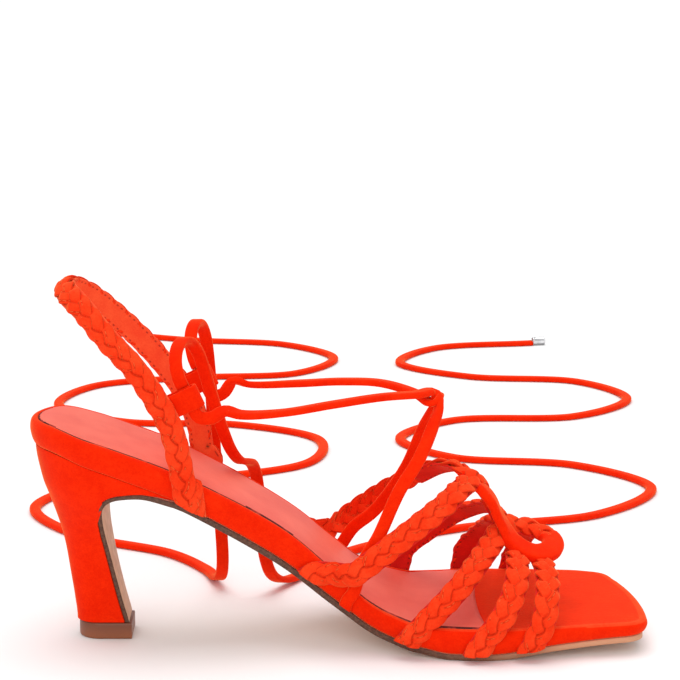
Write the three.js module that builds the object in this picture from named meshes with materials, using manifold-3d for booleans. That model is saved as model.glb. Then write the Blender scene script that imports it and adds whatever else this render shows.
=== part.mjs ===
// A heeled sandal for the left foot, in millimetres: +X points to the toe, +Y to the outer side, +Z up.
// The origin is on the floor at the middle of the heel tip's underside.
import * as THREE from "three";
import { mergeVertices } from "three/addons/utils/BufferGeometryUtils.js";
import Module from "manifold-3d";

const wasm = await Module();
wasm.setup();

// Sole, along the floor and up from it
const soleLength = 237; // back of the heel seat to the toe
const seatSetback = 28; // back of the heel seat to the middle of the heel tip
const seatHeight = 88; // floor to the footbed at the heel
const seatWidth = 53;
const waistWidth = 47.5;
const ballWidth = 84;
const toeWidth = 66;
const toeCornerRadius = 14;
const toeSlant = 9.5; // how far the outer corner of the toe lies behind the inner one
const toeBulge = 4.5; // how far the toe's front edge bows forward between its corners
const midsoleThickness = 9.8;
const outsoleThickness = 2.4;
const toeThickness = 7.8; // midsole and outsole together at the toe
const outsoleInset = 1.8; // outsole edge inside the midsole's widest edge
const breastCoverThickness = 1.6; // outsole where it covers the front of the heel
// Sock lining
const rimWidth = 3; // suede rim outside the lining
const insoleThickness = 1.2;
const insoleLength = 178; // back of the heel seat to the seam behind the toe
const insoleSeamBow = 3.5; // how far the seam bows back in its middle
// Heel
const heelTipLength = 21;
const heelTipWidth = 17;
const heelTipThickness = 6.5;
// Straps
const braidWidth = 10.5;
const braidThickness = 3.6;
const braidRelief = 0.9; // depth of the grooves between the strips
const plaitPitch = 7.3; // from one scallop of the plait's edge to the next
const instepHeight = 54; // ball's footbed to the highest strap
// Ties
const tieWidth = 5;
const tieThickness = 2.6;
const keeperLength = 14;
const keeperWidth = 8.7;
const keeperWall = 1.2;
const tieTipLength = 7.5;
const tieTipDiameter = 4.9;
// Space between pieces that meet
const clearance = 0.3;

const suede = new THREE.MeshStandardMaterial({ color: 0xf93c16, roughness: 0.95, metalness: 0 });
const lining = new THREE.MeshStandardMaterial({ color: 0xfa6a58, roughness: 0.6, metalness: 0 });
const soleTan = new THREE.MeshStandardMaterial({ color: 0xb4896c, roughness: 0.6, metalness: 0 });
const tipBrown = new THREE.MeshStandardMaterial({ color: 0x965537, roughness: 0.45, metalness: 0 });
const polished = new THREE.MeshStandardMaterial({ color: 0xd8d8dc, roughness: 0.15, metalness: 1 });

const treadHeight = midsoleThickness + clearance + outsoleThickness; // footbed above the floor at the ball

// Tables are read as smooth curves that never overshoot their rows.
function read(rows, column, along) {
  const last = rows.length - 1;
  if (along <= rows[0].along) return rows[0][column];
  if (along >= rows[last].along) return rows[last][column];
  let i = 0;
  while (rows[i + 1].along <= along) i += 1;
  const secant = (k) => (rows[k + 1][column] - rows[k][column]) / (rows[k + 1].along - rows[k].along);
  const slope = (k) => {
    if (k === 0 || k === last) return 0;
    const a = secant(k - 1);
    const b = secant(k);
    return a * b <= 0 ? 0 : (2 * a * b) / (a + b);
  };
  const span = rows[i + 1].along - rows[i].along;
  const t = (along - rows[i].along) / span;
  const s = 1 - t;
  return (
    rows[i][column] * s * s * (1 + 2 * t) +
    rows[i + 1][column] * t * t * (1 + 2 * s) +
    span * (slope(i) * t * s * s - slope(i + 1) * t * t * s)
  );
}

// Half widths on the inner and outer side, as shares of the width that rules there
const outlineRows = [
  { along: 0, inner: 0.5 * seatWidth, outer: 0.5 * seatWidth },
  { along: 0.2, inner: 0.5 * seatWidth, outer: 0.5 * seatWidth },
  { along: 0.31, inner: 0.516 * waistWidth, outer: 0.537 * waistWidth },
  { along: 0.41, inner: 0.453 * waistWidth, outer: 0.547 * waistWidth },
  { along: 0.5, inner: 0.463 * waistWidth, outer: 0.632 * waistWidth },
  { along: 0.58, inner: 0.345 * ballWidth, outer: 0.452 * ballWidth },
  { along: 0.67, inner: 0.423 * ballWidth, outer: 0.536 * ballWidth },
  { along: 0.73, inner: 0.44 * ballWidth, outer: 0.56 * ballWidth },
  { along: 0.81, inner: 0.423 * ballWidth, outer: 0.554 * ballWidth },
  { along: 0.92, inner: 0.455 * toeWidth, outer: 0.652 * toeWidth },
  { along: 1, inner: 0.4 * toeWidth, outer: 0.6 * toeWidth },
];

// Height of the footbed as a share of its rise from ball to heel, and depth of the sole below it
// as a share of the sole's thickness at the ball
const toeShare = toeThickness / treadHeight;
const profileRows = [
  { along: 0, rise: 1, depth: 1 },
  { along: 0.03, rise: 0.998, depth: 1 },
  { along: 0.1, rise: 0.937, depth: 1.05 },
  { along: 0.16, rise: 0.872, depth: 1.07 },
  { along: 0.23, rise: 0.787, depth: 1.09 },
  { along: 0.31, rise: 0.66, depth: 1.15 },
  { along: 0.37, rise: 0.55, depth: 1.2 },
  { along: 0.43, rise: 0.424, depth: 1.22 },
  { along: 0.49, rise: 0.258, depth: 1.13 },
  { along: 0.55, rise: 0.1, depth: 0.95 },
  { along: 0.59, rise: 0.042, depth: 0.9 },
  { along: 0.63, rise: 0.008, depth: 0.9 },
  { along: 0.685, rise: 0, depth: 1 },
  { along: 0.75, rise: 0, depth: 1 },
  { along: 0.85, rise: 0, depth: 0.35 + 0.68 * toeShare },
  { along: 1, rise: 0, depth: toeShare },
];

const alongAt = (x) => (x + seatSetback) / soleLength;
const xAt = (along) => along * soleLength - seatSetback;
const inner = (x) => read(outlineRows, "inner", alongAt(x));
const outer = (x) => read(outlineRows, "outer", alongAt(x));
const edge = (x, side) => (side < 0 ? inner(x) : outer(x));
const footbed = (x) => treadHeight + (seatHeight - treadHeight) * read(profileRows, "rise", alongAt(x));
const treadAt = (x) => footbed(x) - treadHeight * read(profileRows, "depth", alongAt(x));
// The underside slopes, so a sheet of even thickness is deeper there when measured straight up.
function steepness(heightAt, x) {
  const step = 1;
  return Math.hypot(1, (heightAt(x + step) - heightAt(x - step)) / (2 * step));
}
const outsoleTop = (x) => treadAt(x) + outsoleThickness * steepness(treadAt, x);
const midsoleUnder = (x) => outsoleTop(x) + clearance;

// Stations along the sole, closer where the outline turns
const heelRound = 0.5 * seatWidth * 1.02; // depth of the round back of the seat
const heelSteps = 8;
const sideSteps = 26;
const toeSteps = 5;
const frontSteps = 5; // across half of the toe's front edge
function soleStations() {
  const list = [];
  const quarter = Math.PI / 2;
  const cornerStart = soleLength - toeCornerRadius;
  for (let i = 0; i < heelSteps; i += 1) {
    const turn = (quarter * (i + 0.25)) / heelSteps;
    list.push({ x: heelRound * (1 - Math.cos(turn)), pull: Math.sin(turn), corner: 0 });
  }
  for (let i = 0; i < sideSteps; i += 1) {
    list.push({ x: heelRound + ((cornerStart - heelRound) * i) / sideSteps, pull: 1, corner: 0 });
  }
  for (let i = 0; i <= toeSteps; i += 1) {
    const turn = (quarter * i) / toeSteps;
    list.push({
      x: cornerStart + toeCornerRadius * Math.sin(turn),
      pull: 1,
      corner: toeCornerRadius * (1 - Math.cos(turn)),
    });
  }
  for (let i = 1; i < frontSteps; i += 1) {
    list.push({ x: soleLength, pull: 1, corner: toeCornerRadius, front: i / (frontSteps - 0.5) });
  }
  return list.map((s) => ({ front: 0, ...s, x: s.x - seatSetback }));
}
const stations = soleStations();

const toeRamp = (x) => Math.max(0, (alongAt(x) - 0.72) / 0.28) ** 1.6;
function outlinePoint(station, side) {
  const across = side * (edge(station.x, side) * station.pull - station.corner) * (1 - station.front);
  if (station.front === 0) {
    return new THREE.Vector2(side < 0 ? station.x : station.x - toeSlant * toeRamp(station.x), across);
  }
  // along the front, from the inner corner to the outer one
  const [near, far] = [toeCornerRadius - inner(station.x), outer(station.x) - toeCornerRadius];
  const share = (across - near) / (far - near);
  return new THREE.Vector2(station.x - toeSlant * share + toeBulge * 4 * share * (1 - share), across);
}

// The outline as one loop: up the inner side, back down the outer side
const outline = [
  ...stations.map((s) => outlinePoint(s, -1)),
  ...stations.map((s) => outlinePoint(s, 1)).reverse(),
];
// The same loop moved inwards by a distance
function insetLoop(inset) {
  const n = outline.length;
  return outline.map((p, i) => {
    const before = outline[(i + n - 1) % n];
    const after = outline[(i + 1) % n];
    const tangent = after.clone().sub(before).normalize();
    return new THREE.Vector2(p.x - tangent.y * inset, p.y + tangent.x * inset);
  });
}

// Closed meshes from rings of equal length. Point i of a ring lies across from point n-1-i.
function loftRings(rings) {
  const n = rings[0].length;
  const positions = rings.flat().flatMap((p) => [p.x, p.y, p.z]);
  const index = [];
  const quad = (a, b, c, d) => index.push(a, b, c, a, c, d);
  for (let r = 0; r + 1 < rings.length; r += 1) {
    for (let i = 0; i < n; i += 1) {
      const j = (i + 1) % n;
      quad(r * n + i, r * n + j, (r + 1) * n + j, (r + 1) * n + i);
    }
  }
  const top = (rings.length - 1) * n;
  for (let i = 0; i + 1 < n - 1 - i; i += 1) {
    const a = i;
    const b = i + 1;
    const c = n - 2 - i;
    const d = n - 1 - i;
    if (b === c) {
      index.push(a, d, b);
      index.push(top + a, top + b, top + d);
    } else {
      quad(a, d, c, b);
      quad(top + a, top + b, top + c, top + d);
    }
  }
  const geometry = new THREE.BufferGeometry();
  geometry.setAttribute("position", new THREE.Float32BufferAttribute(positions, 3));
  geometry.setIndex(index);
  return geometry;
}

function bareOf(geometry) {
  const bare = geometry.clone();
  bare.deleteAttribute("normal");
  bare.deleteAttribute("uv");
  return bare;
}

function solidOf(geometry) {
  const merged = mergeVertices(bareOf(geometry), 1e-4);
  const solid = new wasm.Manifold(
    new wasm.Mesh({
      numProp: 3,
      vertProperties: new Float32Array(merged.attributes.position.array),
      triVerts: new Uint32Array(merged.index.array),
    }),
  );
  return solid;
}

function geometryOf(solid) {
  const mesh = solid.getMesh();
  const geometry = new THREE.BufferGeometry();
  geometry.setAttribute("position", new THREE.BufferAttribute(new Float32Array(mesh.vertProperties), 3));
  geometry.setIndex(new THREE.BufferAttribute(new Uint32Array(mesh.triVerts), 1));
  geometry.computeVertexNormals();
  return geometry;
}

// A cut can leave crumbs and needle-thin faces. The piece itself is the largest body, and its corners are
// moved to a fine grid so that the needles close up.
const finestEdge = 0.04;
const grid = 0.02;
function largest(solid) {
  const biggest = (whole) => whole.decompose().reduce((a, b) => (b.volume() > a.volume() ? b : a));
  let piece = biggest(solid);
  for (let pass = 0; pass < 3; pass += 1) {
    const mesh = piece.simplify(finestEdge).getMesh();
    const geometry = new THREE.BufferGeometry();
    const rounded = new Float32Array(mesh.vertProperties).map((v) => Math.round(v / grid) * grid);
    geometry.setAttribute("position", new THREE.BufferAttribute(rounded, 3));
    geometry.setIndex(new THREE.BufferAttribute(new Uint32Array(mesh.triVerts), 1));
    piece = biggest(solidOf(geometry));
  }
  return piece;
}

// Midsole, as levels from its underside to the footbed; grow makes the larger form that seats its neighbours
const wallLevels = [
  { inset: 2, down: 1 },
  { inset: 0.6, down: 0.74 },
  { inset: 0, down: 0.44 },
  { inset: 0.35, down: 0.2 },
  { inset: 1.2, down: 0.06 },
  { inset: 2.7, down: 0 },
];
function midsoleBlock(grow = 0) {
  const rings = wallLevels.map((level) =>
    insetLoop(level.inset - grow).map((p) => {
      const high = footbed(p.x) + grow;
      const low = midsoleUnder(p.x) - grow;
      return new THREE.Vector3(p.x, p.y, high - (high - low) * level.down);
    }),
  );
  return solidOf(loftRings(rings));
}

// Sock lining: rungs from the inner to the outer edge, the last ones bowed back at the seam
const liningRungPoints = 5;
function liningSlab(inset, low, high) {
  const loop = insetLoop(inset);
  const n = loop.length;
  const seamX = insoleLength - seatSetback - (inset - rimWidth);
  const rungs = [];
  for (let i = 0; i < stations.length && stations[i].x < seamX - 3; i += 1) {
    rungs.push([loop[i], loop[n - 1 - i]]);
  }
  const side = (sign) => new THREE.Vector2(seamX, sign * (edge(seamX, sign) - inset));
  rungs.push([side(-1), side(1)]);
  const bow = (x) => insoleSeamBow * Math.max(0, 1 - (seamX - x) / (0.2 * insoleLength)) ** 2;
  const rows = rungs.map(([a, b]) =>
    Array.from({ length: liningRungPoints }, (_, k) => {
      const t = k / (liningRungPoints - 1);
      const p = a.clone().lerp(b, t);
      return new THREE.Vector2(p.x - bow(p.x) * (1 - (2 * t - 1) ** 2), p.y);
    }),
  );
  return solidOf(slabGeometry(rows, low, high));
}

// A closed slab over a grid of plan points, between two heights
function slabGeometry(rows, low, high) {
  const across = rows[0].length;
  const points = [];
  rows.forEach((row) => row.forEach((p) => points.push([p.x, p.y, high(p.x)])));
  rows.forEach((row) => row.forEach((p) => points.push([p.x, p.y, low(p.x)])));
  const half = rows.length * across;
  const index = [];
  const quad = (a, b, c, d) => index.push(a, b, c, a, c, d);
  for (let r = 0; r + 1 < rows.length; r += 1) {
    for (let k = 0; k + 1 < across; k += 1) {
      const a = r * across + k;
      const b = a + across;
      quad(a, b, b + 1, a + 1);
      quad(half + a, half + a + 1, half + b + 1, half + b);
    }
    const a = r * across;
    const b = a + across;
    quad(a, half + a, half + b, b);
    const c = a + across - 1;
    const d = b + across - 1;
    quad(c, d, half + d, half + c);
  }
  const endRow = (rows.length - 1) * across;
  for (let k = 0; k + 1 < across; k += 1) {
    quad(k, k + 1, half + k + 1, half + k);
    quad(endRow + k, half + endRow + k, half + endRow + k + 1, endRow + k + 1);
  }
  const geometry = new THREE.BufferGeometry();
  geometry.setAttribute("position", new THREE.Float32BufferAttribute(points.flat(), 3));
  geometry.setIndex(index);
  return geometry;
}

function insoleGeometry() {
  return geometryOf(liningSlab(rimWidth + clearance, (x) => footbed(x) - insoleThickness, footbed));
}

function midsoleGeometry() {
  const pocketFloor = (x) => footbed(x) - insoleThickness - clearance;
  const pocket = liningSlab(rimWidth, pocketFloor, (x) => footbed(x) + 2);
  return geometryOf(largest(midsoleBlock().subtract(pocket)));
}

// Heel. Height shares run from the top of the tip to the seat; back and half grow with the seat,
// footBack and footHalf with the tip.
const heelRows = [
  { rise: 0, back: 0, footBack: 0.538, half: 0, footHalf: 0.49 },
  { rise: 0.13, back: 0, footBack: 0.58, half: 0, footHalf: 0.506 },
  { rise: 0.298, back: 0.17, footBack: 0.43, half: 0.03, footHalf: 0.46 },
  { rise: 0.438, back: 0.3, footBack: 0.324, half: 0.09, footHalf: 0.376 },
  { rise: 0.55, back: 0.42, footBack: 0.245, half: 0.16, footHalf: 0.324 },
  { rise: 0.649, back: 0.54, footBack: 0.18, half: 0.25, footHalf: 0.265 },
  { rise: 0.747, back: 0.67, footBack: 0.114, half: 0.36, footHalf: 0.16 },
  { rise: 0.86, back: 0.815, footBack: 0.048, half: 0.43, footHalf: 0.07 },
  { rise: 1.06, back: 0.93, footBack: 0, half: 0.463, footHalf: 0 },
];
// Front of the heel from the shank down to the tip: fall is the share of the drop between them
const breastRows = [
  { ahead: 1.036, foot: 0, fall: 0 },
  { ahead: 0.786, foot: 0, fall: 0.025 },
  { ahead: 0.571, foot: 0, fall: 0.053 },
  { ahead: 0.357, foot: 0, fall: 0.1 },
  { ahead: 0.179, foot: 0, fall: 0.157 },
  { ahead: 0.054, foot: 0, fall: 0.224 },
  { ahead: -0.025, foot: 0, fall: 0.301 },
  { ahead: -0.046, foot: 0, fall: 0.38 },
  { ahead: -0.04, foot: 0.015, fall: 0.456 },
  { ahead: -0.02, foot: 0.05, fall: 0.545 },
  { ahead: 0, foot: 0.12, fall: 0.68 },
  { ahead: 0, foot: 0.25, fall: 0.861 },
  { ahead: 0, foot: 0.362, fall: 1 },
];
const heelFoot = heelTipThickness + clearance;
const seatUnder = (x) => midsoleUnder(x) - clearance;
const breast = breastRows.map((row) => {
  const x = row.ahead * seatSetback + row.foot * heelTipLength;
  return new THREE.Vector2(x, heelFoot + (seatUnder(x) - heelFoot) * (1 - row.fall));
});

function heelHalf(z) {
  const top = seatUnder(-0.3 * seatSetback);
  const rows = heelRows.map((r) => ({ along: r.rise, half: r.half * seatWidth + r.footHalf * heelTipWidth }));
  return read(rows, "half", (z - heelFoot) / (top - heelFoot));
}

// A section with a round back and straight sides that run forward to front
const roundSteps = 14;
function backedRing(back, half, front, z) {
  const depth = half * 1.02;
  const ring = [new THREE.Vector3(front, -half, z)];
  for (let i = 0; i <= roundSteps; i += 1) {
    const turn = -Math.PI / 2 - (Math.PI * i) / roundSteps;
    ring.push(new THREE.Vector3(back + depth + depth * Math.cos(turn), half * Math.sin(turn), z));
  }
  ring.push(new THREE.Vector3(front, half, z));
  return ring.reverse();
}

// A plate whose side outline is drawn in x and z, centred on y = 0
function sidePlate(points, width) {
  const shape = new THREE.Shape(points.map((p) => new THREE.Vector2(p.x, p.y)));
  const geometry = new THREE.ExtrudeGeometry(shape, { depth: width, bevelEnabled: false, steps: 1 });
  geometry.translate(0, 0, -width / 2);
  geometry.rotateX(Math.PI / 2);
  return solidOf(geometry);
}

function heelGeometry() {
  const top = seatUnder(-0.3 * seatSetback);
  const front = 1.3 * seatSetback;
  const rings = heelRows.map((r) => {
    const back = -(r.back * seatSetback + r.footBack * heelTipLength);
    const half = r.half * seatWidth + r.footHalf * heelTipWidth;
    return backedRing(back, half, front, heelFoot + (top - heelFoot) * r.rise);
  });
  const blank = solidOf(loftRings(rings));
  const far = 2 * seatHeight;
  const wide = 2 * seatWidth;
  const aboveSeat = [];
  for (let x = -1.2 * seatSetback; x <= front + 8; x += 3) {
    aboveSeat.push(new THREE.Vector2(x, seatUnder(x)));
  }
  aboveSeat.push(new THREE.Vector2(front + 8, far), new THREE.Vector2(-1.2 * seatSetback, far));
  const infront = [
    ...breast,
    new THREE.Vector2(breast[breast.length - 1].x, -10),
    new THREE.Vector2(far, -10),
    new THREE.Vector2(far, breast[0].y),
  ];
  return geometryOf(largest(blank.subtract(sidePlate(aboveSeat, wide)).subtract(sidePlate(infront, wide))));
}

function heelTipGeometry() {
  const half = heelTipWidth / 2;
  const front = heelTipLength / 2;
  const bevel = 0.5;
  const levels = [
    { z: 0, inset: bevel },
    { z: bevel, inset: 0 },
    { z: heelTipThickness, inset: 0 },
  ];
  const rings = levels.map((l) => backedRing(-front + l.inset, half - l.inset, front - l.inset, l.z));
  return geometryOf(solidOf(loftRings(rings)));
}

// Outsole: rungs from the toe back along the underside, then down the front of the heel
const junctionX = breast[0].x;
function outsoleGeometry() {
  const loop = insetLoop(outsoleInset);
  const n = loop.length;
  const rings = [];
  const rung = (a, b, lowA, lowB) => rings.push([a, b, lowB, lowA]);
  for (let i = stations.length - 1; i >= 0 && stations[i].x > junctionX + 1.5; i -= 1) {
    const [m, l] = [loop[i], loop[n - 1 - i]];
    const at = (p, height, squeeze) => new THREE.Vector3(p.x, p.y * squeeze, height(p.x));
    rung(at(m, outsoleTop, 1), at(l, outsoleTop, 1), at(m, treadAt, 0.99), at(l, treadAt, 0.99));
  }
  const tip = breast.length - 1;
  breast.forEach((p, i) => {
    const before = breast[Math.max(0, i - 1)];
    const after = breast[Math.min(tip, i + 1)];
    const run = i === tip ? new THREE.Vector2(1, -4).normalize() : after.clone().sub(before).normalize();
    const outward = new THREE.Vector2(-run.y, run.x);
    const thin = Math.min(1, i / 3);
    const thick = outsoleThickness + (breastCoverThickness - outsoleThickness) * thin;
    const inside = p.clone().addScaledVector(outward, clearance);
    const outside = inside.clone().addScaledVector(outward, thick);
    if (i === tip) outside.y = inside.y;
    const free = edge(Math.max(p.x, 0), -1) - outsoleInset;
    const halfOf = (sign) => {
      const sole = edge(p.x, sign) - outsoleInset;
      const stem = heelHalf(p.y);
      return i === 0 ? sole : Math.min(free, sole, stem);
    };
    const [m, l] = [halfOf(-1), halfOf(1)];
    const at = (q, y) => new THREE.Vector3(q.x, y, q.y);
    rung(at(inside, -m), at(inside, l), at(outside, -m * 0.97), at(outside, l * 0.97));
  });
  return loftRings(rings);
}

// Straps. Each row is a point in the middle of a strap's thickness: along the sole, across as a share
// of the sole's half width there, rise above the footbed as a share of the instep's height, and then
// the way that its outer face looks, towards the toe, the outer side and up.
const strapColumns = ["along", "across", "rise", "ahead", "out", "up"];
const tabled = (columns, rows) => rows.map((row) => Object.fromEntries(columns.map((c, i) => [c, row[i]])));
const ridgeNearRows = tabled(strapColumns, [
  [0.5266, -1.239, 0.152, 0, -1, 0.1],
  [0.5605, -1.084, 0.366, 0, -1, 0.2],
  [0.5982, -0.907, 0.56, -0.1, -1, 0.3],
  [0.6349, -0.717, 0.709, -0.1, -0.95, 0.4],
  [0.6725, -0.533, 0.834, -0.1, -0.85, 0.55],
  [0.697, -0.33, 0.91, -0.05, -0.7, 0.7],
  [0.7147, -0.122, 0.931, 0.15, -0.5, 0.85],
  [0.7298, 0.021, 0.931, 0.5, -0.35, 0.8],
  [0.7386, 0.074, 0.858, 0.77, -0.3, 0.5],
  [0.7486, 0.089, 0.791, 0.8, -0.3, 0.5],
  [0.7576, 0.1, 0.698, 0.75, -0.3, 0.55],
  [0.7729, 0.12, 0.609, 0.55, -0.35, 0.75],
]);
const loopRows = tabled(strapColumns, [
  [0.792, 0.171, 0.554, 0.4, -0.4, 0.85],
  [0.807, 0.228, 0.531, 0.3, -0.4, 0.87],
  [0.827, 0.238, 0.506, 0.3, -0.4, 0.87],
  [0.848, 0.188, 0.465, 0.3, -0.4, 0.87],
  [0.8565, 0.055, 0.428, 0.3, -0.4, 0.87],
  [0.847, -0.123, 0.406, 0.3, -0.4, 0.87],
  [0.827, -0.229, 0.409, 0.3, -0.4, 0.87],
  [0.805, -0.241, 0.444, 0.35, -0.4, 0.86],
  [0.788, -0.211, 0.498, 0.5, -0.4, 0.8],
]);
const ridgeFarRows = tabled(strapColumns, [
  [0.7802, -0.159, 0.546, 0.75, -0.25, 0.6],
  [0.7712, -0.137, 0.613, 0.86, -0.15, 0.45],
  [0.7612, -0.136, 0.694, 0.88, -0.1, 0.42],
  [0.7532, -0.136, 0.78, 0.88, -0.1, 0.42],
  [0.7412, -0.095, 0.845, 0.75, -0.2, 0.5],
  [0.7233, 0.017, 0.898, 0.4, 0, 0.9],
  [0.7026, 0.159, 0.957, 0, 0.5, 0.86],
  [0.6701, 0.355, 0.935, -0.1, 0.78, 0.6],
  [0.6303, 0.566, 0.829, -0.1, 0.88, 0.42],
  [0.5949, 0.763, 0.68, -0.05, 0.95, 0.3],
  [0.5544, 1.025, 0.451, 0, 1, 0.2],
  [0.513, 1.23, 0.168, 0, 1, 0.1],
]);
const secondNearRows = tabled(strapColumns, [
  [0.6284, -1, -0.017, 0, -1, 0.1],
  [0.6677, -0.931, 0.154, 0, -1, 0.25],
  [0.7021, -0.793, 0.311, 0, -0.85, 0.5],
  [0.7265, -0.595, 0.421, 0, -0.7, 0.7],
  [0.7503, -0.326, 0.505, 0.15, -0.55, 0.8],
  [0.765, -0.123, 0.552, 0.35, -0.45, 0.8],
  [0.778, 0.021, 0.576, 0.4, -0.4, 0.8],
]);
const thirdNearRows = tabled(strapColumns, [
  [0.7415, -1.029, -0.041, 0, -1, 0.1],
  [0.7659, -1.011, 0.108, 0.1, -1, 0.3],
  [0.7825, -0.884, 0.243, 0.15, -0.85, 0.5],
  [0.7923, -0.667, 0.359, 0.2, -0.65, 0.75],
  [0.7943, -0.417, 0.412, 0.25, -0.5, 0.85],
  [0.7951, -0.195, 0.414, 0.3, -0.4, 0.87],
]);
const fourthNearRows = tabled(strapColumns, [
  [0.8275, -1.03, 0.012, 0, -1, 0.1],
  [0.8341, -1.038, 0.133, 0.1, -1, 0.25],
  [0.8373, -0.927, 0.24, 0.15, -0.85, 0.5],
  [0.8404, -0.698, 0.317, 0.2, -0.65, 0.75],
  [0.8387, -0.435, 0.354, 0.25, -0.5, 0.85],
  [0.8346, -0.245, 0.375, 0.3, -0.4, 0.87],
]);
const secondFarRows = tabled(strapColumns, [
  [0.614, 1.024, 0.154, 0, 1, 0.1],
  [0.6512, 0.865, 0.335, 0, 0.95, 0.3],
  [0.694, 0.65, 0.506, 0, 0.8, 0.55],
  [0.731, 0.425, 0.619, 0.1, 0.6, 0.75],
  [0.754, 0.202, 0.672, 0.5, 0.3, 0.7],
  [0.765, 0.068, 0.65, 0.7, 0, 0.6],
]);
const thirdFarRows = tabled(strapColumns, [
  [0.7213, 0.98, 0.163, 0, 1, 0.15],
  [0.7373, 0.893, 0.28, 0, 0.9, 0.4],
  [0.7573, 0.681, 0.433, 0.05, 0.7, 0.7],
  [0.766, 0.426, 0.517, 0.15, 0.3, 0.9],
  [0.783, 0.203, 0.531, 0.3, 0, 0.95],
]);
const fourthFarRows = tabled(strapColumns, [
  [0.8024, 0.986, 0.1, 0, 1, 0.15],
  [0.8084, 0.859, 0.22, 0, 0.85, 0.5],
  [0.8156, 0.678, 0.346, 0.1, 0.6, 0.8],
  [0.8204, 0.453, 0.431, 0.2, 0.25, 0.95],
  [0.823, 0.27, 0.461, 0.3, -0.1, 0.95],
]);
const slingRows = tabled(strapColumns, [
  [0.262, -1.119, -0.193, 0, -1, 0],
  [0.258, -1.114, -0.095, 0, -1, 0],
  [0.25, -1.104, 0.105, 0, -1, 0],
  [0.237, -1.089, 0.329, 0, -1, 0],
  [0.2166, -1.079, 0.471, 0, -1, 0],
  [0.18, -1.057, 0.655, -0.1, -1, 0.03],
  [0.1339, -0.981, 0.797, -0.25, -0.9, 0.15],
  [0.0955, -0.755, 0.924, -0.45, -0.7, 0.4],
  [0.0683, -0.415, 0.967, -0.62, -0.35, 0.66],
  [0.058, 0, 0.97, -0.66, 0, 0.75],
  [0.065, 0.34, 0.956, -0.62, 0.32, 0.66],
  [0.094, 0.679, 0.895, -0.45, 0.7, 0.4],
  [0.14, 0.943, 0.758, -0.25, 0.9, 0.15],
  [0.18, 1.019, 0.637, -0.1, 1, 0.05],
  [0.218, 1.059, 0.501, 0, 1, 0],
  [0.254, 1.076, 0.346, 0, 1, 0],
  [0.275, 1.076, 0.155, 0, 1, 0],
  [0.281, 1.083, -0, 0, 1, 0],
]);
const tieNearRows = tabled(strapColumns, [
  [0.541, -0.98, 0.26, 0, -1, 0.05],
  [0.566, -0.83, 0.51, 0, -1, 0.1],
  [0.599, -0.68, 0.885, 0, -0.95, 0.1],
  [0.632, -0.481, 1.139, -0.1, -0.85, 0.2],
  [0.654, -0.244, 1.339, -0.4, -0.6, 0.3],
  [0.665, -0.074, 1.477, -0.8, -0.1, 0.4],
]);
const tieNearRunRows = tabled(strapColumns, [
  [0.656, 0.014, 1.554, -0.1, -0.3, 1],
  [0.627, -0.183, 1.559, 0, 0, 1],
  [0.572, -0.46, 1.494, 0, 0, 1],
  [0.494, -0.894, 1.214, 0, 0, 1],
  [0.414, -1.087, 0.873, 0, 0, 1],
  [0.348, -1.034, 0.678, 0, -0.2, 1],
]);
const tieFarRows = tabled(strapColumns, [
  [0.5271, 0.92, 0.189, 0, 1, 0],
  [0.5629, 0.74, 0.442, 0, 1, 0],
  [0.614, 0.454, 0.889, 0, 0.95, 0.1],
  [0.6412, 0.3, 1.221, -0.1, 0.8, 0.3],
  [0.657, 0.135, 1.406, -0.4, 0.5, 0.4],
  [0.666, 0.009, 1.519, -0.8, 0.1, 0.4],
]);
const tieFarRunRows = tabled(strapColumns, [
  [0.655, -0.069, 1.486, -0.1, 0.3, 1],
  [0.631, 0.094, 1.521, 0, 0, 1],
  [0.574, 0.332, 1.49, 0, 0, 1],
  [0.506, 0.591, 1.268, 0, 0, 1],
  [0.438, 0.807, 0.972, 0, 0, 1],
  [0.354, 0.906, 0.709, 0, 0.2, 1],
]);

function strapPoint(row) {
  const x = xAt(row.along);
  return {
    point: new THREE.Vector3(
      x,
      row.across * edge(x, row.across),
      footbed(x) + row.rise * instepHeight,
    ),
    face: new THREE.Vector3(row.ahead, row.out, row.up),
    plait: 1,
  };
}
// A strap's foot against the midsole's wall; level runs from 0 at the wall's bottom to 1 at the footbed.
// The strap is set a little into the wall, and the wall with its clearance is cut from it later.
const seatDepth = 0.7;
function footPoint(along, side, level, thickness) {
  const x = xAt(along);
  const low = midsoleUnder(x);
  return {
    point: new THREE.Vector3(
      x,
      side * (edge(x, side) + thickness / 2 + clearance - seatDepth),
      low + (footbed(x) - low) * level,
    ),
    face: new THREE.Vector3(0, side, 0),
    plait: 1,
  };
}

// Even stations along a smooth line through the points, each with its own across and outward directions
function stationsAlong(points, step) {
  const curve = new THREE.CatmullRomCurve3(points.map((p) => p.point), false, "centripetal");
  const last = points.length - 1;
  const dense = 20 * last;
  const lengths = [0];
  let before = curve.getPoint(0);
  for (let i = 1; i <= dense; i += 1) {
    const p = curve.getPoint(i / dense);
    lengths.push(lengths[i - 1] + p.distanceTo(before));
    before = p;
  }
  const count = Math.round(lengths[dense] / step);
  const list = [];
  let k = 0;
  for (let j = 0; j <= count; j += 1) {
    const goal = (lengths[dense] * j) / count;
    while (k < dense - 1 && lengths[k + 1] < goal) k += 1;
    const t = (k + (goal - lengths[k]) / (lengths[k + 1] - lengths[k])) / dense;
    const at = Math.min(t * last, last - 1e-6);
    const i = Math.floor(at);
    const mix = at - i;
    const tangent = curve.getTangent(t);
    const face = points[i].face.clone().lerp(points[i + 1].face, mix);
    face.addScaledVector(tangent, -face.dot(tangent)).normalize();
    list.push({
      point: curve.getPoint(t),
      face,
      across: new THREE.Vector3().crossVectors(tangent, face),
      plait: points[i].plait + (points[i + 1].plait - points[i].plait) * mix,
      phase: goal / plaitPitch,
    });
  }
  return list;
}

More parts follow.
